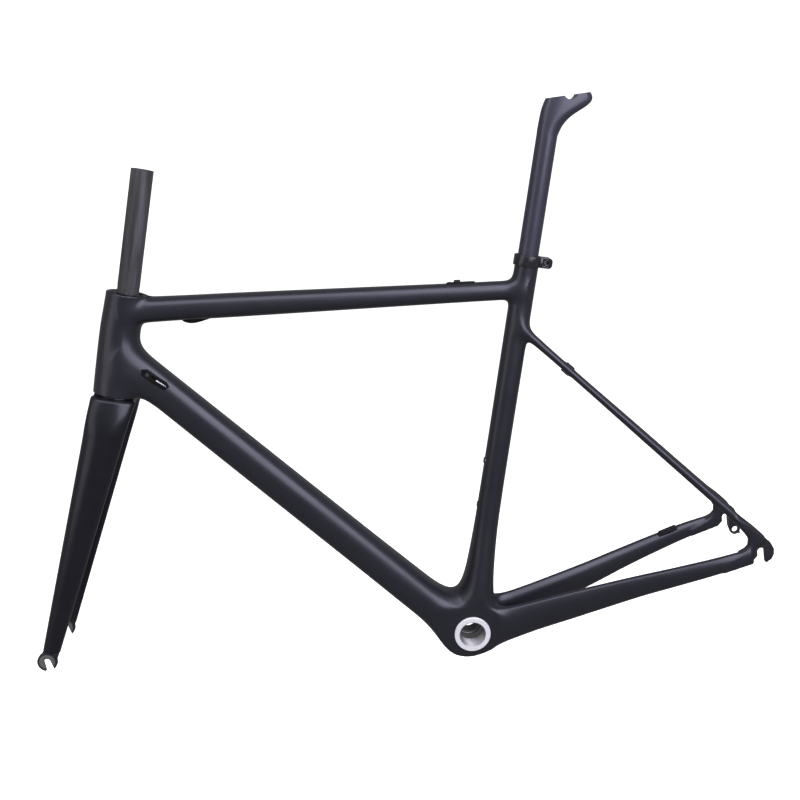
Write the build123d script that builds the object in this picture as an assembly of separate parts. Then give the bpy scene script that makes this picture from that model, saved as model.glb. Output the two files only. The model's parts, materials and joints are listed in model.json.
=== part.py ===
from build123d import *
import os
from math import cos, pi, radians, sin, sqrt

# Carbon rim-brake road frameset: monocoque frame, fork with an uncut steerer,
# seat post and seat clamp.  Millimetres.  Origin at the bottom bracket centre,
# +X forward, +Y to the rider's left, +Z up, wheel axles level with each other.

os.makedirs("parts", exist_ok=True)

# ---------------------------------------------------------------- geometry
BB_DROP = 72.0
CHAINSTAY = 409.0
SEAT_ANGLE = 74.25
SEAT_SETBACK = 0.8            # seat tube axis behind the bottom bracket centre
HEAD_ANGLE = 71.7
STEERER_TOP = (329.7, 692.5)
STEERER_LENGTH = 300.0
FORK_LENGTH = 366.0          # crown race seat to axle, along the steering axis
FORK_RAKE = 39.8
HEAD_TUBE_LENGTH = 136.4
HEAD_GAP = 4.6               # head tube bottom to crown race seat
CROWN_RACE_T = 4.0
CROWN_RIM = 3.0              # the crown rises round its race by this much
SEAT_TUBE_LENGTH = 531.0
FRONT_HUB = 100.0
REAR_HUB = 130.0
POST_LENGTH = 350.0
POST_TOP = 733.0             # saddle cradle, measured up the seat tube axis

# ---------------------------------------------------------------- tubes
WALL = 1.6
STEERER_R = 14.3
STEERER_LOWER_R = 14.1       # below the clamping length
STEERER_CLAMP_FROM = 150.0   # clamping length starts this far above the race seat
STEERER_BORE_R = 11.5
RACE_SEAT_R = 19.9
POST_R = 13.6
POST_BORE_R = 11.3
POST_FIT = 0.05
SEAT_TUBE_R = 15.8
BB_WIDTH = 68.0
BB_CARBON_R = 34.5
BB_FLANGE_R = 25.3
BB_FLANGE_T = 3.0
BB_SHELL_R = 20.5
BB_BORE_R = 16.95            # minor radius of the 1.37 in x 24 thread
BB_THREAD_LENGTH = 24.0
BB_RELIEF_R = 18.2
PLATE_T = 7.0                # rear dropout thickness
FRONT_AXLE_D = 9.2
REAR_AXLE_D = 10.1

# ---------------------------------------------------------------- bearings
UPPER_BEARING = dict(od=41.8, bore=30.2, height=6.5, ball=3.2, balls=30)
LOWER_BEARING = dict(od=51.8, bore=40.2, height=7.0, ball=3.2, balls=38)
UPPER_BEARING_DEPTH = 3.0    # below the head tube's top rim
RACE_T = 1.7
BALL_CLEARANCE = 0.08

# ---------------------------------------------------------------- local axes
STEER_DOWN = Vector(cos(radians(HEAD_ANGLE)), 0, -sin(radians(HEAD_ANGLE)))
STEER_FORWARD = Vector(sin(radians(HEAD_ANGLE)), 0, cos(radians(HEAD_ANGLE)))
SEAT_UP = Vector(-cos(radians(SEAT_ANGLE)), 0, sin(radians(SEAT_ANGLE)))
SEAT_FORWARD = Vector(sin(radians(SEAT_ANGLE)), 0, cos(radians(SEAT_ANGLE)))
LATERAL = Vector(0, 1, 0)
RACE_SEAT = Vector(STEERER_TOP[0], 0, STEERER_TOP[1]) + STEER_DOWN * STEERER_LENGTH
REAR_AXLE = Vector(-sqrt(CHAINSTAY**2 - BB_DROP**2), 0, BB_DROP)


def steer(s, p=0.0, y=0.0):
    """Point s below the crown race seat, p ahead of the steering axis."""
    return RACE_SEAT + STEER_DOWN * s + STEER_FORWARD * p + LATERAL * y


def seat(s, p=0.0, y=0.0):
    """Point s up the seat tube axis from the bottom bracket, p ahead of it."""
    return SEAT_UP * s + SEAT_FORWARD * (p - SEAT_SETBACK) + LATERAL * y


FRONT_AXLE = steer(FORK_LENGTH, FORK_RAKE)


def plane_along(origin, direction):
    """Plane normal to a tube that runs in the X-Z plane, its local X lateral."""
    return Plane(origin=origin, x_dir=(0, 1, 0), z_dir=direction)


def superellipse(plane, width, depth, power=2.0, points=20):
    """Closed outline between an ellipse (power 2) and a soft rectangle."""
    outline = []
    for i in range(points):
        t = 2 * pi * i / points
        c, s = cos(t), sin(t)
        x = width / 2 * abs(c) ** (2 / power) * (1 if c >= 0 else -1)
        y = depth / 2 * abs(s) ** (2 / power) * (1 if s >= 0 else -1)
        outline.append(plane.from_local_coords((x, y)))
    return Wire([Edge.make_spline(outline, periodic=True)])


def loft_sections(sections, shrink=0.0):
    """Solid through (plane, width, depth, power) sections, shrunk by a wall."""
    wires = [
        superellipse(plane, width - 2 * shrink, depth - 2 * shrink, power)
        for plane, width, depth, power in sections
    ]
    return Solid.make_loft(wires)


def cylinder(start, end, radius):
    """Round bar between two points."""
    axis = Vector(end) - Vector(start)
    plane = Plane(origin=start, z_dir=axis)
    return Solid.make_cylinder(radius, axis.length, plane)


def tube(start, end, outer, inner):
    """Round tube between two points, its bore open at both ends."""
    start, end = Vector(start), Vector(end)
    over = (end - start).normalized()
    return cylinder(start, end, outer) - cylinder(start - over, end + over, inner)


def mirrored(shape):
    """The same piece on the other side of the frame."""
    return mirror(shape, about=Plane.XZ)


def largest(shape):
    """The one solid that remains of a trimmed piece."""
    return max(shape.solids(), key=lambda solid: solid.volume)


def save(name, shape):
    """Write one node: a solid, or several separate solids as one group."""
    solids = [s for s in shape.solids() if s.volume > 0.5]
    node = solids[0] if len(solids) == 1 else Compound(children=solids)
    export_step(node, f"parts/{name}.step")


# ================================================================ head tube
HEAD_BOTTOM = -HEAD_GAP
HEAD_TOP = HEAD_BOTTOM - HEAD_TUBE_LENGTH
# (distance below the race seat, centre ahead of the axis, width, depth)
HEAD_STATIONS = [
    (HEAD_BOTTOM, 0.5, 58.0, 58.0),
    (HEAD_BOTTOM - 24, 1.6, 54.5, 56.5),
    (HEAD_BOTTOM - 56, 3.6, 50.0, 53.0),
    (HEAD_BOTTOM - 92, 3.8, 48.5, 52.0),
    (HEAD_BOTTOM - 118, 2.4, 49.5, 52.0),
    (HEAD_TOP, 1.2, 52.0, 52.6),
]
head_sections = [
    (plane_along(steer(s, p), STEER_DOWN * -1), width, depth, 2.0)
    for s, p, width, depth in HEAD_STATIONS
]
head_outer = loft_sections(head_sections)
UPPER_SEAT = HEAD_TOP + UPPER_BEARING_DEPTH + UPPER_BEARING["height"]
LOWER_SEAT = -CROWN_RACE_T - LOWER_BEARING["height"]
HEAD_WALL = 3.4
head_cavity = loft_sections(
    [(plane, width, depth, power) for plane, width, depth, power in head_sections[1:-1]], HEAD_WALL
)
HEAD_NECK_R = 18.5           # clear of the steerer, under the upper bearing seat
HEAD_LOWER_NECK_R = 22.5     # clear of the steerer's taper, above the lower bearing
HEAD_LOWER_NECK = 22.0       # how far that wider bore reaches above the bearing
head_bore = [
    head_cavity,
    cylinder(steer(HEAD_TOP - 1), steer(HEAD_BOTTOM + 1), HEAD_NECK_R),
    cylinder(steer(HEAD_TOP - 1), steer(UPPER_SEAT), UPPER_BEARING["od"] / 2 + 0.02),
    cylinder(steer(LOWER_SEAT), steer(HEAD_BOTTOM + 1), LOWER_BEARING["od"] / 2 + 0.02),
    cylinder(steer(LOWER_SEAT - HEAD_LOWER_NECK), steer(HEAD_BOTTOM + 1), HEAD_LOWER_NECK_R),
]
head_tube = head_outer
for hole in head_bore:
    head_tube = head_tube - hole
save("head_tube", largest(head_tube))

# ================================================================ seat tube
SEAT_ROUND_FROM = 262.0       # plain round tube from here up
# (distance up the axis, centre ahead of it, width, depth)
SEAT_STATIONS = [
    (20.0, -1.0, 62.0, 46.0),
    (62.0, -1.5, 60.0, 43.5),
    (95.0, -1.0, 52.0, 38.5),
    (140.0, -0.3, 40.0, 34.0),
    (200.0, 0.0, 2 * SEAT_TUBE_R + 0.8, 2 * SEAT_TUBE_R + 0.6),
    (SEAT_ROUND_FROM, 0.0, 2 * SEAT_TUBE_R + 0.2, 2 * SEAT_TUBE_R + 0.2),
]
seat_lower = loft_sections(
    [(plane_along(seat(s, p), SEAT_UP), width, depth, 2.0) for s, p, width, depth in SEAT_STATIONS]
)
seat_upper = cylinder(seat(SEAT_ROUND_FROM), seat(SEAT_TUBE_LENGTH), SEAT_TUBE_R)
seat_outer = seat_lower + seat_upper
seat_bore = cylinder(seat(195), seat(SEAT_TUBE_LENGTH + 5), POST_R + POST_FIT)
SEAT_WALL = 2.0
seat_cavity = loft_sections(
    [(plane_along(seat(s, p), SEAT_UP), width, depth, 2.0) for s, p, width, depth in SEAT_STATIONS[:5]],
    SEAT_WALL,
)

# Clamping slit at the back of the seat tube's mouth.
SLIT_WIDTH = 2.0
SLIT_LENGTH = 24.0
slit_centre = seat(SEAT_TUBE_LENGTH - SLIT_LENGTH / 2 + 5, -SEAT_TUBE_R)
slit_plane = Plane(origin=slit_centre, x_dir=SEAT_UP, z_dir=SEAT_FORWARD)
slit = Solid.extrude(
    (slit_plane * SlotOverall(SLIT_LENGTH + 10, SLIT_WIDTH)).face(), SEAT_FORWARD * 10
).moved(Location(SEAT_FORWARD * -5))
bb_core = cylinder((0, -40, 0), (0, 40, 0), BB_CARBON_R)
seat_tube = seat_outer - seat_bore - seat_cavity - slit - bb_core

# ================================================================ top tube
TOP_FRONT = Vector(387.6, 0, 519.2)
TOP_REAR = Vector(-131.9, 0, 466.6)
TOP_DIR = (TOP_REAR - TOP_FRONT).normalized()
TOP_UP = Vector(TOP_DIR.Z, 0, -TOP_DIR.X)
# (distance behind the steering axis, width, depth)
TOP_STATIONS = [
    (0.0, 42.0, 35.0),
    (45.0, 38.0, 32.9),
    (150.0, 36.0, 31.4),
    (300.0, 32.5, 28.4),
    (430.0, 29.0, 25.9),
    (522.0, 27.0, 25.0),
]
top_sections = [
    (plane_along(TOP_FRONT + TOP_DIR * s, TOP_DIR), width, depth, 2.35)
    for s, width, depth in TOP_STATIONS
]
top_outer = loft_sections(top_sections)
top_inner = loft_sections(top_sections, WALL)


def top_line(x, offset):
    """Point of the top tube's centre plane at x, offset from its centreline."""
    s = (TOP_FRONT.X - x) / -TOP_DIR.X
    return TOP_FRONT + TOP_DIR * s + TOP_UP * offset


# ================================================================ down tube
DOWN_FRONT = Vector(406.3, 0, 462.9)
DOWN_DIR = Vector(-0.6451, 0, -0.7641).normalized()
DOWN_UP = Vector(DOWN_DIR.Z, 0, -DOWN_DIR.X)
DOWN_LENGTH = 606.0
# (distance from the steering axis, width, depth)
DOWN_STATIONS = [
    (0.0, 46.0, 47.0),
    (70.0, 47.0, 47.4),
    (160.0, 48.5, 48.6),
    (300.0, 50.0, 50.4),
    (440.0, 53.0, 52.4),
    (540.0, 58.5, 55.0),
    (DOWN_LENGTH, 61.0, 57.0),
]
down_sections = [
    (plane_along(DOWN_FRONT + DOWN_DIR * s, DOWN_DIR), width, depth, 2.5)
    for s, width, depth in DOWN_STATIONS
]
down_outer = loft_sections(down_sections)
down_inner = loft_sections(down_sections, WALL)


def down_line(s, offset, y=0.0):
    """Point s down the down tube, offset towards its upper face."""
    return DOWN_FRONT + DOWN_DIR * s + DOWN_UP * offset + LATERAL * y


# ================================================================ cable ports
PORT_LENGTH, PORT_WIDTH, PORT_T = 38.0, 10.5, 3.5
PORT_S, PORT_OFFSET, PORT_Y = 54.7, 9.5, 21.4
PORT_TURN = 6.0


def port_plane(y):
    """Plane of a down tube port, its local X down the tube."""
    tilt = radians(PORT_TURN)
    along = DOWN_DIR * cos(tilt) + DOWN_UP * sin(tilt)
    return Plane(origin=down_line(PORT_S, PORT_OFFSET, y), x_dir=along, z_dir=(0, 1, 0))


def slot_block(plane, length, width, height):
    """Round-ended block standing on a plane."""
    face = (plane * SlotOverall(length, width)).face()
    return Solid.extrude(face, plane.z_dir * height)


port_blank = slot_block(port_plane(PORT_Y), PORT_LENGTH, PORT_WIDTH, PORT_T)
port_at = port_plane(PORT_Y)


def port_point(x, y, z):
    return port_at.from_local_coords((x, y, z))


port_channel = cylinder(port_point(-5, 0, 3.4), port_point(30, 0, 1.0), 2.3)
port_bore = cylinder(port_point(-30, 0, 3.4), port_point(30, 0, -1.6), 1.1)
port_screw_hole = cylinder(port_point(-11.5, 0, -1), port_point(-11.5, 0, PORT_T + 1), 1.5)
port_screw_sink = cylinder(port_point(-11.5, 0, PORT_T - 1.4), port_point(-11.5, 0, PORT_T + 1), 2.6)
port_left = largest(port_blank - port_channel - port_bore - port_screw_hole - port_screw_sink)
port_screw = cylinder(port_point(-11.5, 0, -0.9), port_point(-11.5, 0, PORT_T - 1.4), 1.5) + cylinder(
    port_point(-11.5, 0, PORT_T - 1.4), port_point(-11.5, 0, PORT_T - 0.1), 2.6
)
port_screw = port_screw - slot_block(
    Plane(origin=port_point(-11.5, 0, PORT_T - 1.0), x_dir=port_at.x_dir, z_dir=(0, 1, 0)), 4.0, 0.8, 2
)
port_pocket = slot_block(port_plane(PORT_Y - 1), PORT_LENGTH, PORT_WIDTH, PORT_T + 8)
save("downtube_port_left", port_left)
save("downtube_port_right", mirrored(port_left))
save("port_screws", Compound(children=[largest(port_screw), largest(mirrored(port_screw))]))

# Brake cable entry boss under the top tube.
ENTRY_X, ENTRY_PLATE_X, ENTRY_LENGTH, ENTRY_WIDTH = 305.0, 298.0, 40.0, 13.0
TOP_HALF = 16.3
entry_plane = Plane(
    origin=top_line(ENTRY_PLATE_X, -TOP_HALF + 2.0), x_dir=TOP_DIR, z_dir=TOP_UP * -1
)
entry_body = slot_block(entry_plane, ENTRY_LENGTH, ENTRY_WIDTH, 1.6)
entry_nose = loft_sections(
    [
        (Plane(origin=top_line(ENTRY_X + 10, -TOP_HALF), x_dir=(0, 1, 0), z_dir=TOP_DIR), 8.0, 2.6, 2.0),
        (Plane(origin=top_line(ENTRY_X + 4, -TOP_HALF - 1.2), x_dir=(0, 1, 0), z_dir=TOP_DIR), 10.0, 5.8, 2.0),
        (Plane(origin=top_line(ENTRY_X - 1, -TOP_HALF - 1.5), x_dir=(0, 1, 0), z_dir=TOP_DIR), 10.0, 6.8, 2.0),
        (Plane(origin=top_line(ENTRY_X - 23, -TOP_HALF + 0.4), x_dir=(0, 1, 0), z_dir=TOP_DIR), 7.0, 2.4, 2.0),
    ]
)
entry_hole = cylinder(top_line(ENTRY_X + 12, -TOP_HALF - 1.6), top_line(ENTRY_X - 2, -TOP_HALF - 0.6), 2.1)
entry_wire = cylinder(top_line(ENTRY_X + 12, -TOP_HALF - 1.4), top_line(ENTRY_X - 24, -TOP_HALF + 4.6), 0.9)
toptube_entry = largest(entry_body + entry_nose - entry_hole - entry_wire)
save("toptube_cable_entry", toptube_entry)
entry_pocket = slot_block(
    entry_plane,
    ENTRY_LENGTH, ENTRY_WIDTH, 12.0,
)

# Rear brake cable exit and stop on the top tube, ahead of the seat tube.
EXIT_X, EXIT_LENGTH, EXIT_WIDTH = -50.0, 38.0, 9.0
EXIT_HALF = 12.9
exit_plane = Plane(origin=top_line(EXIT_X, EXIT_HALF - 2.2), x_dir=TOP_DIR, z_dir=TOP_UP)
exit_base = slot_block(exit_plane, EXIT_LENGTH, EXIT_WIDTH, 3.4)
EXIT_RISE, EXIT_BARREL_R = 0.9, 3.5
exit_barrel = cylinder(
    top_line(EXIT_X + 8.5, EXIT_HALF + EXIT_RISE), top_line(EXIT_X + 0.5, EXIT_HALF + EXIT_RISE), EXIT_BARREL_R
)
exit_socket = cylinder(
    top_line(EXIT_X + 3.5, EXIT_HALF + EXIT_RISE), top_line(EXIT_X + 10, EXIT_HALF + EXIT_RISE), 2.4
)
exit_wire = cylinder(top_line(EXIT_X + 10, EXIT_HALF + EXIT_RISE), top_line(EXIT_X - 14, EXIT_HALF - 4), 0.9)
exit_stop = largest(exit_base + exit_barrel - exit_socket - exit_wire)
exit_screw_at = top_line(EXIT_X + 14.5, EXIT_HALF + 0.6)
exit_screw = cylinder(exit_screw_at - TOP_UP * 4.0, exit_screw_at, 1.5) + cylinder(
    exit_screw_at, exit_screw_at + TOP_UP * 1.3, 2.5
)
exit_screw = exit_screw - cylinder(exit_screw_at + TOP_UP * 0.5, exit_screw_at + TOP_UP * 2, 1.1)
exit_stop = largest(exit_stop - cylinder(exit_screw_at - TOP_UP * 5, exit_screw_at + TOP_UP * 2, 1.5)
                    - cylinder(exit_screw_at, exit_screw_at + TOP_UP * 3, 2.5))
save("toptube_cable_stop", exit_stop)
save("toptube_stop_screw", largest(exit_screw))
exit_pocket = slot_block(exit_plane, EXIT_LENGTH, EXIT_WIDTH, 12.0)

# ================================================================ bottle bosses
BOSS_SPACING = 64.0
BOSS_R, BOSS_SCREW_R, BOSS_FLANGE_R = 3.6, 2.5, 5.0
BOSS_DEPTH = 9.0


def boss(base, outward):
    """Threaded insert and its button-head screw, seated on a tube wall."""
    insert = cylinder(base - outward * BOSS_DEPTH, base, BOSS_R)
    insert = insert + cylinder(base, base + outward * 0.8, BOSS_FLANGE_R)
    insert = insert - cylinder(base - outward * (BOSS_DEPTH + 1), base + outward * 2, BOSS_SCREW_R)
    head = cylinder(base + outward * 0.8, base + outward * 2.4, 4.4)
    head = fillet(head.edges().sort_by(Axis(base, outward))[-1], 0.9)
    screw = head + cylinder(base - outward * 7.5, base + outward * 0.8, BOSS_SCREW_R)
    socket = Plane(origin=base + outward * 1.0, z_dir=outward) * RegularPolygon(1.5, 6)
    screw = screw - Solid.extrude(socket.face(), outward * 3)
    hole = cylinder(base - outward * 12, base + outward * 6, BOSS_R)
    hole = hole + cylinder(base, base + outward * 6, BOSS_FLANGE_R)
    return largest(insert), largest(screw), hole


DOWN_BOSS_S, DOWN_BOSS_HEIGHT = 307.0, 23.3
SEAT_BOSS_S, SEAT_BOSS_HEIGHT = 181.0, 14.6
DOWN_BOSSES = [down_line(s, DOWN_BOSS_HEIGHT) for s in (DOWN_BOSS_S, DOWN_BOSS_S + BOSS_SPACING)]
SEAT_BOSSES = [seat(s, SEAT_BOSS_HEIGHT) for s in (SEAT_BOSS_S, SEAT_BOSS_S + BOSS_SPACING)]
bosses = [boss(point, DOWN_UP) for point in DOWN_BOSSES]
bosses += [boss(point, SEAT_FORWARD) for point in SEAT_BOSSES]
save("bottle_inserts", Compound(children=[item[0] for item in bosses]))
save("bottle_screws", Compound(children=[item[1] for item in bosses]))

# ================================================================ rear stays
# (x, y, z, width, depth, power), left side
CHAINSTAY_STATIONS = [
    (-14.0, 20.0, -4.0, 22.0, 53.0, 2.3),
    (-50.0, 23.5, 2.6, 19.0, 48.5, 2.3),
    (-82.0, 26.5, 8.8, 17.0, 44.5, 2.3),
    (-143.0, 34.0, 20.6, 16.5, 40.0, 2.3),
    (-190.0, 41.5, 30.2, 16.0, 35.5, 2.3),
    (-235.0, 50.0, 39.8, 15.5, 31.0, 2.3),
    (-291.0, 61.0, 50.4, 15.0, 26.8, 2.2),
    (-347.0, 69.5, 60.6, 14.0, 23.2, 2.2),
    (-388.0, 71.0, 67.8, 11.0, 20.0, 2.2),
]
# the seat stay's centreline runs straight in side view
STAY_TOP = Vector(-119.0, 0, 420.9)
STAY_SLOPE = 1.168
SEATSTAY_STATIONS = [
    (-112.0, 8.0, 16.0, 14.0),
    (-150.0, 13.5, 14.5, 10.8),
    (-190.0, 22.5, 14.0, 9.8),
    (-260.0, 38.5, 14.0, 10.8),
    (-330.0, 55.5, 13.5, 11.4),
    (-372.0, 65.5, 11.5, 12.0),
    (-397.0, 69.0, 8.5, 13.0),
]


def seatstay_z(x):
    return STAY_TOP.Z + (x - STAY_TOP.X) * STAY_SLOPE


def stay_sections(points):
    """Sections whose planes follow the centreline through the points."""
    sections = []
    for i, (x, y, z, width, depth, power) in enumerate(points):
        before, after = points[max(i - 1, 0)], points[min(i + 1, len(points) - 1)]
        run = Vector(after[0] - before[0], after[1] - before[1], after[2] - before[2])
        side = Vector(0, 1, 0) - run * (run.Y / run.dot(run))
        plane = Plane(origin=(x, y, z), x_dir=side, z_dir=run)
        sections.append((plane, width, depth, power))
    return sections


chain_sections = stay_sections(CHAINSTAY_STATIONS)
chain_outer = loft_sections(chain_sections)
chain_inner = loft_sections(chain_sections[:-1], WALL)
seatstay_points = [(x, y, seatstay_z(x), w, d, 2.1) for x, y, w, d in SEATSTAY_STATIONS]
seatstay_sections = stay_sections(seatstay_points)
seatstay_outer = loft_sections(seatstay_sections)
seatstay_inner = loft_sections(seatstay_sections[:-1], 1.3)

# ================================================================ rear dropouts
PLATE_INNER = REAR_HUB / 2
PLATE_OUTER = PLATE_INNER + PLATE_T


def side_face(points, y):
    """Face in the X-Z plane at y from outline points, in order."""
    outline = Polyline([(x, y, z) for x, z in points], close=True)
    return Face(Wire(outline.edges()))


AX, AZ = REAR_AXLE.X, REAR_AXLE.Z
HOOK_R = 18.2
dropout_outline = [
    (AX + 26, AZ + 45), (AX + 12, AZ + 38.5), (AX - 2, AZ + 24), (AX - 14, AZ + 11),
    (AX - HOOK_R, AZ + 1), (AX - HOOK_R + 0.5, AZ - 7), (AX - 14.2, AZ - 13.2),
    (AX - 7.5, AZ - 17.2), (AX + 5.05, AZ - 17.0), (AX + 14.6, AZ - 17.2),
    (AX + 30, AZ - 13.5), (AX + 30, AZ + 3.5), (AX + 21, AZ + 7.0),
    (AX + 15, AZ + 12.5), (AX + 12.6, AZ + 20), (AX + 15.5, AZ + 27),
]
dropout_blank = Solid.extrude(side_face(dropout_outline, PLATE_INNER), Vector(0, PLATE_T, 0))
rounded = dropout_blank.edges().filter_by(Axis.Y).filter_by(
    lambda edge: edge.center().X < AX - 6 or (edge.center().Z > AZ + 5 and edge.center().X < AX + 24)
)
dropout_blank = fillet(rounded, 2.5)
axle_slot = cylinder((AX, 50, AZ), (AX, 80, AZ), REAR_AXLE_D / 2)
slot_leg = Solid.extrude(
    side_face(
        [
            (AX - REAR_AXLE_D / 2, AZ), (AX + REAR_AXLE_D / 2, AZ),
            (AX + REAR_AXLE_D / 2, AZ - 5.5), (AX + 14.6, AZ - 15.5), (AX + 14.6, AZ - 30),
            (AX - REAR_AXLE_D / 2 - 1.2, AZ - 30), (AX - REAR_AXLE_D / 2, AZ - 14),
        ],
        50,
    ),
    Vector(0, 30, 0),
)
dropout_left = dropout_blank - axle_slot - slot_leg
dropout_left = largest(dropout_left)

# ---- derailleur hanger, bolted to the outside of the right dropout
HANGER_T = 4.0
HANGER_HOLE = Vector(AX - 15.4, 0, AZ - 25.0)
HANGER_HOLE_R = 4.6
HANGER_EYE_R = 7.8
HANGER_TAB = 9.6             # reach of the stop tab from the eye's centre
hanger_y = -PLATE_OUTER
hanger_outline = [
    (AX + 13.5, AZ + 7), (AX + 9, AZ + 12), (AX - 8, AZ + 12), (AX - 14.5, AZ + 6),
    (AX - 17.0, AZ - 4), (AX - 22.4, AZ - 20), (AX - 17, AZ - 31), (AX - 8.2, AZ - 28),
    (AX - 5.1, AZ - 17), (AX + 5.1, AZ - 8), (AX + 12, AZ - 7),
]
hanger_blank = Solid.extrude(side_face(hanger_outline, hanger_y), Vector(0, -HANGER_T, 0))
hanger_eye = cylinder(
    (HANGER_HOLE.X, hanger_y, HANGER_HOLE.Z), (HANGER_HOLE.X, hanger_y - HANGER_T, HANGER_HOLE.Z),
    HANGER_EYE_R,
)
hanger_slot = cylinder((AX, -90, AZ), (AX, -60, AZ), REAR_AXLE_D / 2)
hanger_leg = Solid.extrude(
    side_face(
        [
            (AX - REAR_AXLE_D / 2, AZ), (AX + REAR_AXLE_D / 2, AZ),
            (AX + REAR_AXLE_D / 2 + 6, AZ - 40), (AX - REAR_AXLE_D / 2, AZ - 40),
        ],
        -60,
    ),
    Vector(0, -30, 0),
)
HANGER_BOLTS = [(AX + 10.2, AZ + 1.5), (AX - 6.5, AZ + 8.6)]
tab_outline = [
    (HANGER_HOLE.X - 2, HANGER_HOLE.Z - 5), (HANGER_HOLE.X - 5.5, HANGER_HOLE.Z - 2),
    (HANGER_HOLE.X - HANGER_TAB * 0.82, HANGER_HOLE.Z - HANGER_TAB * 0.62),
    (HANGER_HOLE.X - HANGER_TAB * 0.64, HANGER_HOLE.Z - HANGER_TAB * 0.82),
]
hanger_tab = Solid.extrude(side_face(tab_outline, hanger_y), Vector(0, -HANGER_T, 0))
hanger = hanger_blank + hanger_eye + hanger_tab - hanger_slot - hanger_leg
hanger = hanger - cylinder(
    (HANGER_HOLE.X, -95, HANGER_HOLE.Z), (HANGER_HOLE.X, -50, HANGER_HOLE.Z), HANGER_HOLE_R
)
# the right dropout is cut away at its lower front corner
corner = side_face([(AX + 8, AZ - 30), (AX + 8, AZ - 11.5), (AX + 34, AZ - 17.5), (AX + 34, AZ - 30)], -90)
dropout_right = mirrored(dropout_left) - Solid.extrude(corner, Vector(0, 40, 0))
hanger_screws = []
for x, z in HANGER_BOLTS:
    hanger = hanger - cylinder((x, -95, z), (x, -60, z), 1.6)
    hanger = hanger - cylinder((x, -95, z), (x, hanger_y - HANGER_T + 1.6, z), 2.8)
    dropout_right = dropout_right - cylinder((x, -95, z), (x, -60, z), 1.6)
    screw = cylinder((x, hanger_y - HANGER_T + 1.6, z), (x, -PLATE_INNER - 0.6, z), 1.6)
    screw = screw + cylinder((x, hanger_y - HANGER_T, z), (x, hanger_y - HANGER_T + 1.6, z), 2.8)
    screw = screw - cylinder((x, hanger_y - HANGER_T - 1, z), (x, hanger_y - HANGER_T + 1.0, z), 1.2)
    hanger_screws.append(largest(screw))
save("derailleur_hanger", largest(hanger))
save("hanger_bolts", Compound(children=hanger_screws))

# ================================================================ brake bridge
BRIDGE_X = -180.6
BRIDGE = Vector(BRIDGE_X, 0, seatstay_z(BRIDGE_X))
BRIDGE_R = 6.6
BRIDGE_HALF = 7.2
BRIDGE_AXIS = Vector(-STAY_SLOPE, 0, 1).normalized()
bridge_bar = cylinder(BRIDGE - LATERAL * 20, BRIDGE + LATERAL * 20, 5.4)
bridge_boss = cylinder(BRIDGE - BRIDGE_AXIS * BRIDGE_HALF, BRIDGE + BRIDGE_AXIS * BRIDGE_HALF, BRIDGE_R)
BRIDGE_INSERT_R, BRIDGE_HOLE_R = 5.2, 4.0
bridge_insert = tube(
    BRIDGE - BRIDGE_AXIS * BRIDGE_HALF, BRIDGE + BRIDGE_AXIS * BRIDGE_HALF, BRIDGE_INSERT_R, BRIDGE_HOLE_R
)
bridge = bridge_bar + bridge_boss - cylinder(
    BRIDGE - BRIDGE_AXIS * 20, BRIDGE + BRIDGE_AXIS * 20, BRIDGE_INSERT_R
)
bridge = largest(bridge - seatstay_outer - mirrored(seatstay_outer))
save("brake_bridge", bridge)
save("brake_bridge_insert", largest(bridge_insert))

# ================================================================ bottom bracket
shell = cylinder((0, -BB_WIDTH / 2, 0), (0, BB_WIDTH / 2, 0), BB_SHELL_R)
for side in (-1, 1):
    face = side * BB_WIDTH / 2
    shell = shell + cylinder((0, face, 0), (0, face - side * BB_FLANGE_T, 0), BB_FLANGE_R)
shell = shell - cylinder((0, -40, 0), (0, 40, 0), BB_BORE_R)
relief = BB_WIDTH / 2 - BB_THREAD_LENGTH
shell = shell - cylinder((0, -relief, 0), (0, relief, 0), BB_RELIEF_R)
for side in (-1, 1):
    face = side * BB_WIDTH / 2
    mouth = Solid.make_cone(
        BB_BORE_R + 1.0, BB_BORE_R, 1.0, Plane(origin=(0, face, 0), z_dir=(0, -side, 0))
    )
    shell = shell - mouth
save("bb_shell", largest(shell))

bb_half = BB_WIDTH / 2 - BB_FLANGE_T
bb_junction = cylinder((0, -bb_half, 0), (0, bb_half, 0), BB_CARBON_R)
bb_junction = bb_junction - cylinder((0, -40, 0), (0, 40, 0), BB_SHELL_R)
BB_WEB, BB_SLEEVE_T, BB_SKIN_T = 3.0, 2.0, 2.6
bb_cavity = tube(
    (0, BB_WEB - bb_half, 0), (0, bb_half - BB_WEB, 0), BB_CARBON_R - BB_SKIN_T, BB_SHELL_R + BB_SLEEVE_T
)
bb_junction = bb_junction - bb_cavity
BB_WINDOW_R = 14.0           # openings into the down tube and seat tube
for run in (DOWN_DIR * -1, SEAT_UP):
    near, far = BB_SHELL_R + BB_SLEEVE_T + 2.5, BB_CARBON_R + 5
    bb_junction = bb_junction - cylinder(run * near, run * far, BB_WINDOW_R)
save("bb_junction", largest(bb_junction))

# ================================================================ trimming
chain_right_outer = mirrored(chain_outer)
seatstay_right_outer = mirrored(seatstay_outer)

down_tube = down_outer - down_inner - head_outer - bb_core - seat_outer
down_tube = down_tube - port_pocket - mirrored(port_pocket)
for item in bosses[:2]:
    down_tube = down_tube - item[2]
save("down_tube", largest(down_tube))

for item in bosses[2:]:
    seat_tube = seat_tube - item[2]
seat_tube = largest(seat_tube)
save("seat_tube", seat_tube)

top_tube = top_outer - top_inner - head_outer - seat_outer
top_tube = top_tube - entry_pocket - exit_pocket - exit_barrel
save("top_tube", largest(top_tube))

chainstay_left = chain_outer - chain_inner - bb_core - seat_outer - down_outer
chainstay_left = largest(chainstay_left - dropout_blank)
seatstay_left = largest(
    seatstay_outer - seatstay_inner - seat_outer - top_outer - dropout_blank - seatstay_right_outer
)
save("dropout_left", dropout_left)
save("dropout_right", largest(dropout_right))

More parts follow.
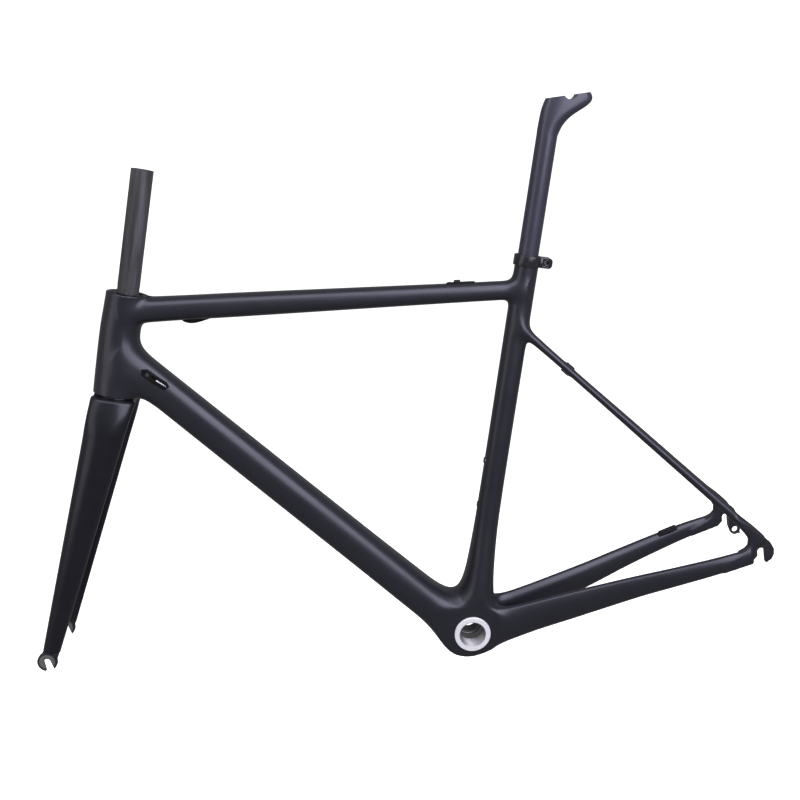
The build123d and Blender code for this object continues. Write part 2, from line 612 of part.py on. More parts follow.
# Gear cable exit and stop on top of the right chain stay.
CS_STOP = Vector(-313.0, -61.0, 68.5)
CS_RUN = Vector(-1, -0.13, 0.18).normalized()
cs_body = cylinder(CS_STOP - CS_RUN * 13, CS_STOP + CS_RUN * 13, 3.0)
cs_foot = loft_sections(
    [
        (Plane(origin=CS_STOP - CS_RUN * 15 + Vector(0, 0, -3.5), x_dir=(0, 1, 0), z_dir=CS_RUN), 6, 5, 2),
        (Plane(origin=CS_STOP + Vector(0, 0, -3.0), x_dir=(0, 1, 0), z_dir=CS_RUN), 7.5, 7, 2),
        (Plane(origin=CS_STOP + CS_RUN * 15 + Vector(0, 0, -3.5), x_dir=(0, 1, 0), z_dir=CS_RUN), 6, 5, 2),
    ]
)
cs_socket = cylinder(CS_STOP + CS_RUN * 5, CS_STOP + CS_RUN * 16, 2.3)
cs_wire = cylinder(CS_STOP - CS_RUN * 16, CS_STOP + CS_RUN * 16, 0.9)
chainstay_stop = largest(cs_body + cs_foot - cs_socket - cs_wire - chain_right_outer)
save("chainstay_cable_stop", chainstay_stop)
save("chainstay_left", chainstay_left)
save("chainstay_right", mirrored(chainstay_left))
save("seatstay_left", seatstay_left)
save("seatstay_right", mirrored(seatstay_left))

# ================================================================ seat clamp
CLAMP_LOW, CLAMP_HIGH = SEAT_TUBE_LENGTH - 14.5, SEAT_TUBE_LENGTH - 0.5
CLAMP_R = 18.2
EAR_REACH, EAR_WIDTH, EAR_ROUND = 32.4, 17.0, 5.0
EAR_BOLT_S, EAR_BOLT_P = (CLAMP_LOW + CLAMP_HIGH) / 2, -25.0
ear_plane = Plane(origin=seat(EAR_BOLT_S, -EAR_REACH / 2 - 5, -EAR_WIDTH / 2), x_dir=SEAT_FORWARD, z_dir=LATERAL)
ear_outline = ear_plane * RectangleRounded(EAR_REACH - 10, CLAMP_HIGH - CLAMP_LOW, EAR_ROUND)
ears = Solid.extrude(ear_outline.face(), LATERAL * EAR_WIDTH)
band = cylinder(seat(CLAMP_LOW), seat(CLAMP_HIGH), CLAMP_R) + ears
band = band - cylinder(seat(CLAMP_LOW - 5), seat(CLAMP_HIGH + 5), SEAT_TUBE_R)
gap_box = Plane(origin=seat(EAR_BOLT_S, -26), x_dir=SEAT_FORWARD, z_dir=SEAT_UP) * Box(26, 2.2, 30)
band = band - gap_box
bolt_centre = seat(EAR_BOLT_S, EAR_BOLT_P)
CLAMP_BOLT_R = 2.5
band = band - cylinder(bolt_centre - LATERAL * 20, bolt_centre + LATERAL * 20, CLAMP_BOLT_R + 0.1)
band = band - cylinder(bolt_centre + LATERAL * 4.6, bolt_centre + LATERAL * 20, 4.4)
band = band - cylinder(bolt_centre - LATERAL * 4.6, bolt_centre - LATERAL * 20, 4.4)
save("seat_clamp_band", largest(band))
bolt = cylinder(bolt_centre - LATERAL * 6.0, bolt_centre + LATERAL * 4.6, CLAMP_BOLT_R)
bolt = bolt + cylinder(bolt_centre + LATERAL * 4.6, bolt_centre + LATERAL * 8.9, 4.2)
bolt_hex = Plane(origin=bolt_centre + LATERAL * 6.0, z_dir=LATERAL) * RegularPolygon(2.3, 6)
bolt = bolt - Solid.extrude(bolt_hex.face(), LATERAL * 5)
save("seat_clamp_bolt", largest(bolt))
nut = tube(bolt_centre - LATERAL * 8.9, bolt_centre - LATERAL * 4.6, 4.2, CLAMP_BOLT_R)
save("seat_clamp_nut", largest(nut))

# ================================================================ headset bearings


def bearing(top, spec):
    """Outer race, inner race and ball ring of a bearing below a station."""
    middle = top + spec["height"] / 2
    outer_r, inner_r = spec["od"] / 2, spec["bore"] / 2
    pitch_r = (outer_r + inner_r) / 2
    groove_plane = Plane(origin=steer(middle, pitch_r), x_dir=STEER_FORWARD, z_dir=(0, 1, 0))
    groove_face = (groove_plane * Circle(spec["ball"] / 2 + BALL_CLEARANCE)).face()
    groove = Solid.revolve(groove_face, 360, Axis(RACE_SEAT, STEER_DOWN))
    bottom = top + spec["height"]
    outer = tube(steer(top), steer(bottom), outer_r, outer_r - RACE_T) - groove
    inner = tube(steer(top), steer(bottom), inner_r + RACE_T, inner_r) - groove
    plane = Plane(origin=steer(middle), x_dir=LATERAL, z_dir=STEER_DOWN)
    balls = []
    for i in range(spec["balls"]):
        angle = 2 * pi * i / spec["balls"]
        centre = plane.from_local_coords((pitch_r * cos(angle), pitch_r * sin(angle), 0))
        balls.append(Solid.make_sphere(spec["ball"] / 2, Plane(origin=centre)))
    return largest(outer), largest(inner), Compound(children=balls)


upper_outer, upper_inner, upper_balls = bearing(HEAD_TOP + UPPER_BEARING_DEPTH, UPPER_BEARING)
lower_outer, lower_inner, lower_balls = bearing(LOWER_SEAT, LOWER_BEARING)
save("upper_bearing_outer_race", upper_outer)
save("upper_bearing_inner_race", upper_inner)
save("upper_bearing_balls", upper_balls)
save("lower_bearing_outer_race", lower_outer)
save("lower_bearing_inner_race", lower_inner)
save("lower_bearing_balls", lower_balls)

# The inner races sit on these: a centring ring above, the crown race below.
ring = tube(
    steer(HEAD_TOP + 1.2), steer(HEAD_TOP + UPPER_BEARING_DEPTH), 17.6, STEERER_LOWER_R
)
ring = ring + tube(
    steer(HEAD_TOP + UPPER_BEARING_DEPTH), steer(HEAD_TOP + UPPER_BEARING_DEPTH + 4),
    UPPER_BEARING["bore"] / 2, STEERER_LOWER_R,
)
RING_SPLIT = 1.5             # lets the ring close on the steerer
split_plane = Plane(origin=steer(HEAD_TOP, -16), x_dir=STEER_FORWARD, z_dir=STEER_DOWN)
ring = ring - split_plane * Box(12, RING_SPLIT, 30)
save("centring_ring", largest(ring))
CROWN_RACE_R = 24.5
crown_race = tube(steer(-CROWN_RACE_T), steer(0), CROWN_RACE_R, RACE_SEAT_R)
save("crown_race", largest(crown_race))

# ================================================================ fork
TAPER_TOP, TAPER_BOTTOM = -75.0, -14.0
steerer_profile = [
    (STEERER_BORE_R, -STEERER_LENGTH), (STEERER_R, -STEERER_LENGTH), (STEERER_R, -STEERER_CLAMP_FROM),
    (STEERER_LOWER_R, -STEERER_CLAMP_FROM), (STEERER_LOWER_R, TAPER_TOP),
    (RACE_SEAT_R, TAPER_BOTTOM), (RACE_SEAT_R, 0.0), (STEERER_BORE_R + 4.0, 0.0),
    (STEERER_BORE_R + 4.0, TAPER_BOTTOM), (STEERER_BORE_R, TAPER_TOP),
]
profile_points = [steer(s, r) for r, s in steerer_profile]
steerer_face = Face(Wire(Polyline(profile_points, close=True).edges()))
steer_axis = Axis(RACE_SEAT, STEER_DOWN * -1)
steerer = Solid.revolve(steerer_face, 360, steer_axis)
save("steerer", steerer)

CROWN_BOTTOM = 45.0
BLADE_END = 352.0


def blade_front(s):
    """Leading edge of a blade, ahead of the steering axis."""
    return 27.6 + 0.0575 * s


def blade_rear(s):
    """Trailing edge of a blade, ahead of the steering axis."""
    return -29.4 + 0.155 * s


def blade_y(s):
    """Distance of a blade's centreline from the fork's middle plane."""
    if s < CROWN_BOTTOM:
        return 38.0 - 14.0 * (1 - s / CROWN_BOTTOM) ** 1.6
    t = (s - CROWN_BOTTOM) / (BLADE_END - CROWN_BOTTOM)
    return 38.0 + 15.0 * t


def blade_width(s):
    """Side-to-side thickness of a blade."""
    t = (s - CROWN_BOTTOM) / (BLADE_END - CROWN_BOTTOM)
    return 21.0 - 10.5 * t


def blade_section(s, lean=0.0):
    """Section of the left blade, its plane leant outwards by some degrees."""
    middle = (blade_front(s) + blade_rear(s)) / 2
    depth = blade_front(s) - blade_rear(s)
    down = STEER_DOWN * cos(radians(lean)) + LATERAL * sin(radians(lean))
    side = LATERAL * cos(radians(lean)) - STEER_DOWN * sin(radians(lean))
    plane = Plane(origin=steer(s, middle, blade_y(s)), x_dir=side, z_dir=down)
    return plane, blade_width(s), depth, 2.2


ARCH_R = 27.0
ARCH_S = 49.0
SHOULDER_S = 2.0             # where a blade's shoulder starts under the race seat
crown_stations = [
    (-CROWN_RIM, 0.6, 57.0, 54.0, 2.0),
    (0.0, 0.8, 57.0, 54.0, 2.0),
    (8.0, 0.8, 57.0, 52.0, 2.1),
    (24.0, 1.6, 60.0, 51.0, 2.3),
    (CROWN_BOTTOM, 4.2, 62.0, 48.0, 2.4),
]
crown_middle = loft_sections(
    [
        (plane_along(steer(s, p), STEER_DOWN), width, depth, power)
        for s, p, width, depth, power in crown_stations
    ]
)
SHOULDER_STATIONS = ((SHOULDER_S, 40.0), (12.0, 30.0), (26.0, 14.0), (CROWN_BOTTOM, 0.0))
shoulder = loft_sections([blade_section(s, lean) for s, lean in SHOULDER_STATIONS])
arch = cylinder(steer(ARCH_S, -60), steer(ARCH_S, 60), ARCH_R)
above_seat = cylinder(steer(-40), steer(-CROWN_RIM), 80) + cylinder(steer(-CROWN_RIM), steer(0), CROWN_RACE_R + 0.3)
below_crown = cylinder(steer(CROWN_BOTTOM), steer(CROWN_BOTTOM + 40), 80)
BRAKE_HOLE_S, BRAKE_INSERT_R, BRAKE_HOLE_R = 11.5, 5.0, 4.0
brake_bore = cylinder(steer(BRAKE_HOLE_S, -60), steer(BRAKE_HOLE_S, 60), BRAKE_INSERT_R)
crown = crown_middle + shoulder + mirrored(shoulder)
crown = crown - arch - above_seat - below_crown - brake_bore
save("fork_crown", largest(crown))
insert = tube(steer(BRAKE_HOLE_S, -24.0), steer(BRAKE_HOLE_S, 26.4), BRAKE_INSERT_R, BRAKE_HOLE_R)
save("crown_brake_insert", largest(insert))

BLADE_STATIONS = (CROWN_BOTTOM, 90.0, 150.0, 220.0, 290.0, BLADE_END)
blade_outer = loft_sections([blade_section(s) for s in BLADE_STATIONS])
blade_inner = loft_sections([blade_section(s) for s in BLADE_STATIONS[:-1] + (335.0,)], WALL)
blade_left = largest(blade_outer - blade_inner)
save("fork_blade_left", blade_left)
save("fork_blade_right", mirrored(blade_left))

# Fork ends: an eye round the axle with its slot open downwards.
FX, FZ = FRONT_AXLE.X, FRONT_AXLE.Z
EYE_R = 13.4
EYE_T = 5.5
eye_y = FRONT_HUB / 2
tip = cylinder((FX, eye_y, FZ), (FX, eye_y + EYE_T, FZ), EYE_R)
tang_points = [
    steer(FORK_LENGTH - 2, FORK_RAKE - 11.5), steer(FORK_LENGTH - 2, FORK_RAKE + 10.5),
    steer(BLADE_END, blade_front(BLADE_END) - 0.4), steer(BLADE_END, blade_rear(BLADE_END) + 0.4),
]
tip = tip + Solid.extrude(side_face([(p.X, p.Z) for p in tang_points], eye_y), Vector(0, EYE_T, 0))
tip = tip - cylinder((FX, 40, FZ), (FX, 70, FZ), FRONT_AXLE_D / 2)
tip = tip - Solid.extrude(
    side_face(
        [
            (FX - FRONT_AXLE_D / 2, FZ), (FX + FRONT_AXLE_D / 2, FZ),
            (FX + FRONT_AXLE_D / 2 - 0.8, FZ - 20), (FX - FRONT_AXLE_D / 2 - 4.2, FZ - 20),
        ],
        40,
    ),
    Vector(0, 30, 0),
)
tip = largest(tip)
save("fork_tip_left", tip)
save("fork_tip_right", mirrored(tip))

# ================================================================ seat post
POST_BOTTOM = POST_TOP - POST_LENGTH
HEAD_START = POST_TOP - 47.0
post_tube = tube(seat(POST_BOTTOM), seat(HEAD_START), POST_R, POST_BORE_R)
save("seatpost_tube", post_tube)
# front and rear ends of each section, as (s, p) on the seat tube axis
POST_HEAD_ENDS = [
    ((686.0, 13.6), (686.0, -13.6), 27.2, 2.0),
    ((694.0, 13.7), (700.5, -18.4), 27.4, 2.05),
    ((705.0, 13.3), (716.5, -31.2), 28.0, 2.2),
    ((717.0, 12.4), (731.5, -48.0), 27.6, 2.4),
    ((730.5, 9.0), (745.6, -46.6), 26.0, 2.6),
]
head_rings = []
for (fs, fp), (rs, rp), width, power in POST_HEAD_ENDS:
    front, rear = seat(fs, fp), seat(rs, rp)
    run = front - rear
    plane = Plane(origin=(front + rear) * 0.5, x_dir=LATERAL, z_dir=LATERAL.cross(run) * -1)
    head_rings.append((plane, width, run.length, power))
post_head = loft_sections(head_rings)
CRADLE_S, CRADLE_P, CRADLE_R = 742.3, -19.6, 9.6
cradle = cylinder(seat(CRADLE_S, CRADLE_P, -40), seat(CRADLE_S, CRADLE_P, 40), CRADLE_R)
HEAD_BOLT_R = 2.6
bolt_holes = [
    cylinder(seat(715, 0), seat(760, -3), HEAD_BOLT_R),
    cylinder(seat(716, -33), seat(760, -40.5), HEAD_BOLT_R),
]
post_head = post_head - cradle
for hole in bolt_holes:
    post_head = post_head - hole
save("seatpost_head", largest(post_head))
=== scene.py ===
"""Looks of the carbon frameset: seamless carbon skins, detailed metal parts, studio."""

import json
import math

import bmesh
import bpy
import numpy as np
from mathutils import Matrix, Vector


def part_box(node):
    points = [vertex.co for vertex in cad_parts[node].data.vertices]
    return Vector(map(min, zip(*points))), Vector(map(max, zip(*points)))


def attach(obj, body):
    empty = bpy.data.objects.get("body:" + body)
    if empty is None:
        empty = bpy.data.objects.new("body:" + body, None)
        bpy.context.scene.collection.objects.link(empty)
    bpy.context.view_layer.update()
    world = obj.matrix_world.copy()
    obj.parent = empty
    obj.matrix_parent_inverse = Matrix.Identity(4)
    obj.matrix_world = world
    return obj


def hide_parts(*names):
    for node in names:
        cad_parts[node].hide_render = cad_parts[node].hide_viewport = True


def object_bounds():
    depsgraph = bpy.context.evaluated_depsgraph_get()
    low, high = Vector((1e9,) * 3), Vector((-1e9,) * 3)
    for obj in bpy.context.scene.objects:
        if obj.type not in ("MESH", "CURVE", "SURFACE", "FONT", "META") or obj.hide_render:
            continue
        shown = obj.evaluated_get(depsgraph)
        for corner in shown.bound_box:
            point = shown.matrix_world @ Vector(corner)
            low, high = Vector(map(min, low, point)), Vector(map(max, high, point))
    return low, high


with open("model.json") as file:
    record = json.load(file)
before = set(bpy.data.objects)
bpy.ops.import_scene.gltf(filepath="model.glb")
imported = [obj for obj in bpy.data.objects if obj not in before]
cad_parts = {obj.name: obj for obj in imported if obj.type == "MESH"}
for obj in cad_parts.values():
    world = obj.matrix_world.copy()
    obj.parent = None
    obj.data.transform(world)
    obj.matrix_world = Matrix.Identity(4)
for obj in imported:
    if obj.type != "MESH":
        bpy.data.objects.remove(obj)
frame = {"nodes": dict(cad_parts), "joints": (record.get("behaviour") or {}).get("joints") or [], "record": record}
CAD_BOX = [list(corner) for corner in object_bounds()]
NODES = frame["nodes"]
JOINTS = {joint["name"]: joint for joint in frame["joints"]}
MOUNTS = {mount["name"]: mount for mount in frame["record"]["mounts"]}

# The carbon surfaces are worked out in millimetres and turned into metres as
# they become meshes.
MM = 0.001
Y_AXIS = np.array([0.0, 1.0, 0.0])
STEER_UP = np.array(JOINTS["steering"]["axis"])
STEER_DOWN = -STEER_UP
STEER_FORWARD = np.array([STEER_UP[2], 0.0, -STEER_UP[0]])
RACE_SEAT = np.array(JOINTS["steering"]["pos_m"]) / MM
SEAT_UP = np.array(JOINTS["seatpost_height"]["axis"])
SEAT_FORWARD = np.array([SEAT_UP[2], 0.0, -SEAT_UP[0]])
FRONT_AXLE = np.array(MOUNTS["front_dropouts"]["pos_m"]) / MM
REAR_AXLE = np.array(MOUNTS["rear_dropouts"]["pos_m"]) / MM
BRIDGE = np.array(MOUNTS["rear_brake"]["pos_m"]) / MM
BRIDGE_AXIS = np.array(MOUNTS["rear_brake"]["axis"])
SEAT_SETBACK = 0.8  # the seat tube's axis passes this far behind the bottom bracket's


def steer(s, p=0.0, y=0.0):
    """Point s below the crown race seat, p ahead of the steering axis, in mm."""
    return RACE_SEAT + STEER_DOWN * s + STEER_FORWARD * p + Y_AXIS * y


def seat(s, p=0.0, y=0.0):
    """Point s up the seat tube axis, p ahead of it, in mm."""
    return SEAT_UP * s + SEAT_FORWARD * (p - SEAT_SETBACK) + Y_AXIS * y


# ------------------------------------------------------------ distance fields
def hermite(table, x):
    """Smooth curve through the rows (x, value) of a table."""
    xs, ys = (np.array(column, float) for column in zip(*table))
    slope = np.gradient(ys, xs)
    x = np.clip(x, xs[0], xs[-1])
    i = np.clip(np.searchsorted(xs, x, side="right") - 1, 0, len(xs) - 2)
    h = xs[i + 1] - xs[i]
    t = (x - xs[i]) / h
    return (
        (2 * t**3 - 3 * t**2 + 1) * ys[i]
        + (t**3 - 2 * t**2 + t) * h * slope[i]
        + (3 * t**2 - 2 * t**3) * ys[i + 1]
        + (t**3 - t**2) * h * slope[i + 1]
    )


def column(rows, i):
    """One column of a table against its first."""
    return [(row[0], row[i]) for row in rows]


def section(u, v, a, b, n):
    """Distance to a superellipse with half axes a and b."""
    au, bv = np.abs(u) / a, np.abs(v) / b
    g = np.maximum((au**n + bv**n) ** (1 / n), 1e-3)
    gu = (au / g) ** (n - 1) / a
    gv = (bv / g) ** (n - 1) / b
    return (g - 1) / np.maximum(np.hypot(gu, gv), 1e-6)


def join(a, b, k):
    """Union of two fields with a fillet; k is about 1.7 times its radius."""
    h = np.maximum(k - np.abs(a - b), 0) / k
    return np.minimum(a, b) - h**3 * k / 6


def cut(a, b, k):
    """Common part of two fields with a rounded edge."""
    return -join(-a, -b, k)


def straight(points, start, along, up, rows, power):
    """Tube on a straight line; rows are (s, centre, width, depth)."""
    rel = points - start
    s = rel @ along
    v = rel @ up - hermite(column(rows, 1), s)
    a = hermite(column(rows, 2), s) / 2
    b = hermite(column(rows, 3), s) / 2
    side = section(points[:, 1], v, a, b, power)
    return np.maximum(side, np.maximum(rows[0][0] - s, s - rows[-1][0]))


def swept(points, rows, power, guess):
    """Tube along a curve; rows are (t, x, y, z, width, depth)."""
    tables = [column(rows, i) for i in range(1, 6)]

    def centre(t):
        return np.stack([hermite(tables[i], t) for i in range(3)], -1)

    t = np.clip(guess, rows[0][0], rows[-1][0])
    for _ in range(4):
        here, ahead = centre(t - 0.5), centre(t + 0.5)
        run = ahead - here
        rate = np.maximum((run**2).sum(-1), 1e-9)
        t = np.clip(t + ((points - centre(t)) * run).sum(-1) / rate, rows[0][0], rows[-1][0])
    run = centre(t + 0.5) - centre(t - 0.5)
    run /= np.linalg.norm(run, axis=-1, keepdims=True) + 1e-9
    side = Y_AXIS - run * run[:, 1:2]
    side /= np.linalg.norm(side, axis=-1, keepdims=True) + 1e-9
    up = np.cross(run, side)
    rel = points - centre(t)
    a, b = hermite(tables[3], t) / 2, hermite(tables[4], t) / 2
    d = section((rel * side).sum(-1), (rel * up).sum(-1), a, b, power)
    return np.maximum(d, np.abs((rel * run).sum(-1)) - 0.5)


def polygon(x, z, outline):
    """Distance to a closed outline in the X-Z plane."""
    best = np.full(x.shape, 1e9)
    sign = np.ones(x.shape)
    for (x0, z0), (x1, z1) in zip(outline, outline[1:] + outline[:1]):
        ex, ez = x1 - x0, z1 - z0
        t = np.clip(((x - x0) * ex + (z - z0) * ez) / (ex * ex + ez * ez), 0, 1)
        best = np.minimum(best, (x - x0 - t * ex) ** 2 + (z - z0 - t * ez) ** 2)
        cross = ex * (z - z0) - ez * (x - x0)
        a, b = z >= z0, z < z1
        flip = (a & b & (cross > 0)) | (~a & ~b & (cross < 0))
        sign = np.where(flip, -sign, sign)
    return sign * np.sqrt(best)


def ramp(x, low, high):
    """0 below low, 1 above high, smooth between."""
    t = np.clip((x - low) / (high - low), 0, 1)
    return t * t * (3 - 2 * t)


# ------------------------------------------------------------ frame, in mm
# Powers of the superellipse sections: 2 is round, more is boxier.
HEAD_POWER, TOP_POWER, DOWN_POWER, SEAT_POWER, CHAIN_POWER, STAY_POWER = 2.0, 2.35, 2.5, 2.05, 2.3, 2.1
HEAD_BOTTOM, HEAD_TOP = -4.6, -141.0
HEAD_ROWS = [
    (-156.0, 0.9, 53.0, 53.0), (HEAD_TOP, 1.2, 52.0, 52.6), (-122.0, 2.4, 49.5, 52.0),
    (-96.0, 3.8, 48.5, 52.0), (-60.0, 3.6, 50.0, 53.0), (-28.0, 1.6, 54.5, 56.5),
    (HEAD_BOTTOM, 0.5, 58.0, 58.0), (10.0, 0.2, 60.0, 59.0),
]
TOP_FRONT = np.array([387.6, 0, 519.2])
TOP_ALONG = np.array([-519.5, 0, -52.6])
TOP_ALONG = TOP_ALONG / np.linalg.norm(TOP_ALONG)
TOP_UP = np.array([TOP_ALONG[2], 0, -TOP_ALONG[0]])
TOP_ROWS = [
    (0.0, 0, 42.0, 35.0), (45.0, 0, 38.0, 32.9), (150.0, 0, 36.0, 31.4),
    (300.0, 0, 32.5, 28.4), (430.0, 0, 29.0, 25.9), (522.0, 0, 27.0, 25.0),
]
DOWN_FRONT = np.array([406.3, 0, 462.9])
DOWN_ALONG = np.array([-0.6451, 0, -0.7641])
DOWN_UP = np.array([-0.7641, 0, 0.6451])
DOWN_ROWS = [
    (0.0, 0, 46.0, 47.0), (70.0, 0, 47.0, 47.4), (160.0, 0, 48.5, 48.6), (300.0, 0, 50.0, 50.4),
    (440.0, 0, 53.0, 52.4), (540.0, 0, 58.5, 55.0), (580.0, 0, 60.0, 55.5), (640.0, 0, 61.0, 56.0),
]
SEAT_ROWS = [
    (-8.0, -0.8, 62.0, 47.0), (20.0, -1.0, 62.0, 46.0), (62.0, -1.5, 60.0, 43.5),
    (95.0, -1.0, 52.0, 38.5), (140.0, -0.3, 40.0, 34.0), (200.0, 0, 32.4, 32.2),
    (262.0, 0, 31.6, 31.6), (400.0, 0, 31.6, 31.6), (545.0, 0, 31.6, 31.6),
]
CHAIN_ROWS = [
    (-14.0, -14.0, 20.0, -4.0, 22.0, 53.0), (-50.0, -50.0, 23.5, 2.6, 19.0, 48.5),
    (-82.0, -82.0, 26.5, 8.8, 17.0, 44.5), (-143.0, -143.0, 34.0, 20.6, 16.5, 40.0),
    (-190.0, -190.0, 41.5, 30.2, 16.0, 35.5), (-235.0, -235.0, 50.0, 39.8, 15.5, 31.0),
    (-291.0, -291.0, 61.0, 50.4, 15.0, 26.8), (-347.0, -347.0, 69.5, 60.6, 14.0, 23.2),
    (-388.0, -388.0, 71.0, 67.8, 11.0, 20.0),
]
STAY_SLOPE = 1.168
STAY_TOP = (-119.0, 420.9)
STAY_PLAN = [
    (-112.0, 8.0, 16.0, 14.0), (-150.0, 13.5, 14.5, 10.8), (-190.0, 22.5, 14.0, 9.8),
    (-260.0, 38.5, 14.0, 10.8), (-330.0, 55.5, 13.5, 11.4), (-372.0, 65.5, 11.5, 12.0),
    (-397.0, 69.0, 8.5, 13.0), (-402.0, 69.0, 7.5, 12.0),
]


def stay_z(x):
    """Height of a seat stay's centreline, which is straight seen from the side."""
    return STAY_TOP[1] + (x - STAY_TOP[0]) * STAY_SLOPE


def reverse_rows(rows):
    """Rows in rising order of their first column, measured backwards."""
    return [(-row[0],) + tuple(row[1:]) for row in rows]


CHAIN_ROWS = reverse_rows(CHAIN_ROWS)
STAY_ROWS = [(-x, x, y, stay_z(x), w, d) for x, y, w, d in STAY_PLAN]
AX, AZ = REAR_AXLE[0], REAR_AXLE[2]
PLATE_MIDDLE, ROOT_HALF = 68.5, 4.7
ROOT_OUTLINE = [
    (AX + 30, AZ + 52), (AX + 12, AZ + 38.8), (AX - 1.6, AZ + 24.3), (AX - 9.5, AZ + 15.5),
    (AX - 6, AZ + 9.5), (AX, AZ + 10.8), (AX + 6.5, AZ + 8.5), (AX + 10.2, AZ + 2.5),
    (AX + 11.5, AZ - 6), (AX + 13.8, AZ - 15.4), (AX + 52, AZ - 21), (AX + 52, AZ - 13),
    (AX + 37, AZ - 6.5), (AX + 26.5, AZ - 1.0), (AX + 19.5, AZ + 4.2), (AX + 16.2, AZ + 11.5),
    (AX + 15.0, AZ + 20), (AX + 18.4, AZ + 28),
]
BB_R, BB_HALF = 34.5, 31.0
SIDE_WALL = 31.3
BAR_R, BAR_HALF = 5.4, 21.0
BOSS_R, BOSS_HALF, BOSS_BORE = 6.9, 6.6, 5.9

PORT_AT = DOWN_FRONT + DOWN_ALONG * 54.7 + DOWN_UP * 9.5
PORT_TURN = math.radians(6.0)
PORT_ALONG = DOWN_ALONG * math.cos(PORT_TURN) + DOWN_UP * math.sin(PORT_TURN)
PORT_ACROSS = np.cross(PORT_ALONG, Y_AXIS)
PORT_LENGTH, PORT_WIDTH, PORT_FLOOR = 38.0, 10.5, 20.6
PORT_GAP = 0.2


def port_recess(points):
    """Seats of the cable ports in the down tube's sides, a little deeper than the ports."""
    rel = points - PORT_AT
    u, v = rel @ PORT_ALONG, rel @ PORT_ACROSS
    half = (PORT_LENGTH - PORT_WIDTH) / 2
    slot = np.hypot(np.maximum(np.abs(u) - half, 0), v) - PORT_WIDTH / 2 - PORT_GAP
    return np.maximum(slot, PORT_FLOOR - np.abs(points[:, 1]))


def frame_field(points):
    """Distance to the carbon of the frame: the tubes, run smoothly together.

    The last argument of every join and cut is the size of its fillet in mm.
    """
    x, z = points[:, 0], points[:, 2]
    mirrored = points.copy()
    mirrored[:, 1] = np.sqrt(points[:, 1] ** 2 + 1.0)
    head = straight(points, RACE_SEAT, STEER_DOWN, STEER_FORWARD, HEAD_ROWS, HEAD_POWER)
    top = straight(points, TOP_FRONT, TOP_ALONG, TOP_UP, TOP_ROWS, TOP_POWER)
    down = straight(points, DOWN_FRONT, DOWN_ALONG, DOWN_UP, DOWN_ROWS, DOWN_POWER)
    down = cut(down, (points - RACE_SEAT) @ STEER_FORWARD - 4, 26)
    down = cut(down, (points - DOWN_FRONT) @ DOWN_ALONG - 610, 42)
    post = straight(points, seat(0), SEAT_UP, SEAT_FORWARD, SEAT_ROWS, SEAT_POWER)
    radial = np.hypot(x, z) - BB_R
    core = cut(radial, np.abs(points[:, 1]) - BB_HALF, 5.0)
    chain = swept(mirrored, CHAIN_ROWS, CHAIN_POWER, -x)
    stay_x = STAY_TOP[0] + (z - STAY_TOP[1]) / STAY_SLOPE
    stay = swept(mirrored, STAY_ROWS, STAY_POWER, -(x * 0.423 + stay_x * 0.577))
    stay = cut(stay, (points - seat(0)) @ SEAT_FORWARD + 3, 14)
    rel = points - BRIDGE
    along = rel @ BRIDGE_AXIS
    round_boss = np.sqrt(np.maximum((rel**2).sum(-1) - along**2, 0))
    bar = np.maximum(np.hypot(x - BRIDGE[0], z - BRIDGE[2]) - BAR_R, np.abs(points[:, 1]) - BAR_HALF)
    bar = join(bar, cut(round_boss - BOSS_R, np.abs(along) - BOSS_HALF, 1.6), 3.0)
    root = polygon(x, z, ROOT_OUTLINE)
    root = cut(root, np.abs(mirrored[:, 1] - PLATE_MIDDLE) - ROOT_HALF, 3.0)

    rel = points - RACE_SEAT
    s, p = rel @ STEER_DOWN, rel @ STEER_FORWARD
    round_head = np.hypot(p, points[:, 1])
    below = ramp(-((points - DOWN_FRONT) @ DOWN_UP), -60, 40)
    front = join(head, down, 18 + 26 * below * ramp(-p, -30, 40))
    front = join(front, top, 12.0)
    front = cut(front, -np.maximum(s - HEAD_TOP, round_head - 27.6), 2.4)
    keel = HEAD_BOTTOM + 0.6 * np.maximum(-p - 30, 0) - 2.0 * ramp(-p, 24, 40)
    front = cut(front, s - keel, 2.4 + 12 * ramp(-p, 20, 42))
    low = 1 - ramp(z, 180, 280)
    back = join(post, chain, 45.0)
    back = join(back, stay, 17.0)
    back = join(back, core, 12.0)
    stays = join(join(chain, stay, 9.0), bar, 4.0)
    stays = join(stays, root, 9.0)
    # The right root stops above the derailleur hanger; the left one runs on.
    hanger_line = AZ - 11.5 - (x - AX - 8) * 0.23
    stays = cut(stays, np.where(points[:, 1] < 0, hanger_line - z, -50.0), 3.0)
    stays = cut(stays, BOSS_BORE - round_boss, 0.6)
    both = join(front, back, 16 + 44 * low)
    both = np.minimum(both, stays)
    both = cut(both, -port_recess(points), 0.8)
    wall = SIDE_WALL + 0.35 * np.maximum(-34 - x, 0) + 0.2 * np.maximum(np.hypot(x, z) - 90, 0)
    return cut(both, np.abs(points[:, 1]) - wall, 4.5)


# ------------------------------------------------------------ fork, in mm
BLADE_END = 352.0
BLADE_POWER, CROWN_POWER = 2.2, 2.1
CROWN_TOP = -3.0
CROWN_ROWS = [
    (-8.0, 0.6, 57.0, 54.0), (0.0, 0.8, 57.0, 54.0), (8.0, 0.8, 57.0, 52.5),
    (24.0, 1.6, 60.0, 51.0), (46.0, 4.2, 62.0, 48.0),
]
ARCH_S, ARCH_R = 49.0, 27.0
CROWN_END = 45.0
BRAKE_HOLE_S, BRAKE_HOLE_R = 11.5, 4.6
RACE_SEAT_R = 24.8


def blade_y(s):
    """Distance of a blade's centreline from the fork's middle plane."""
    curl = np.clip(1 - s / CROWN_END, 0, 1.2)
    t = np.clip((s - CROWN_END) / (BLADE_END - CROWN_END), 0, 1)
    return 38.0 - 14.0 * curl**1.6 + 15.0 * t


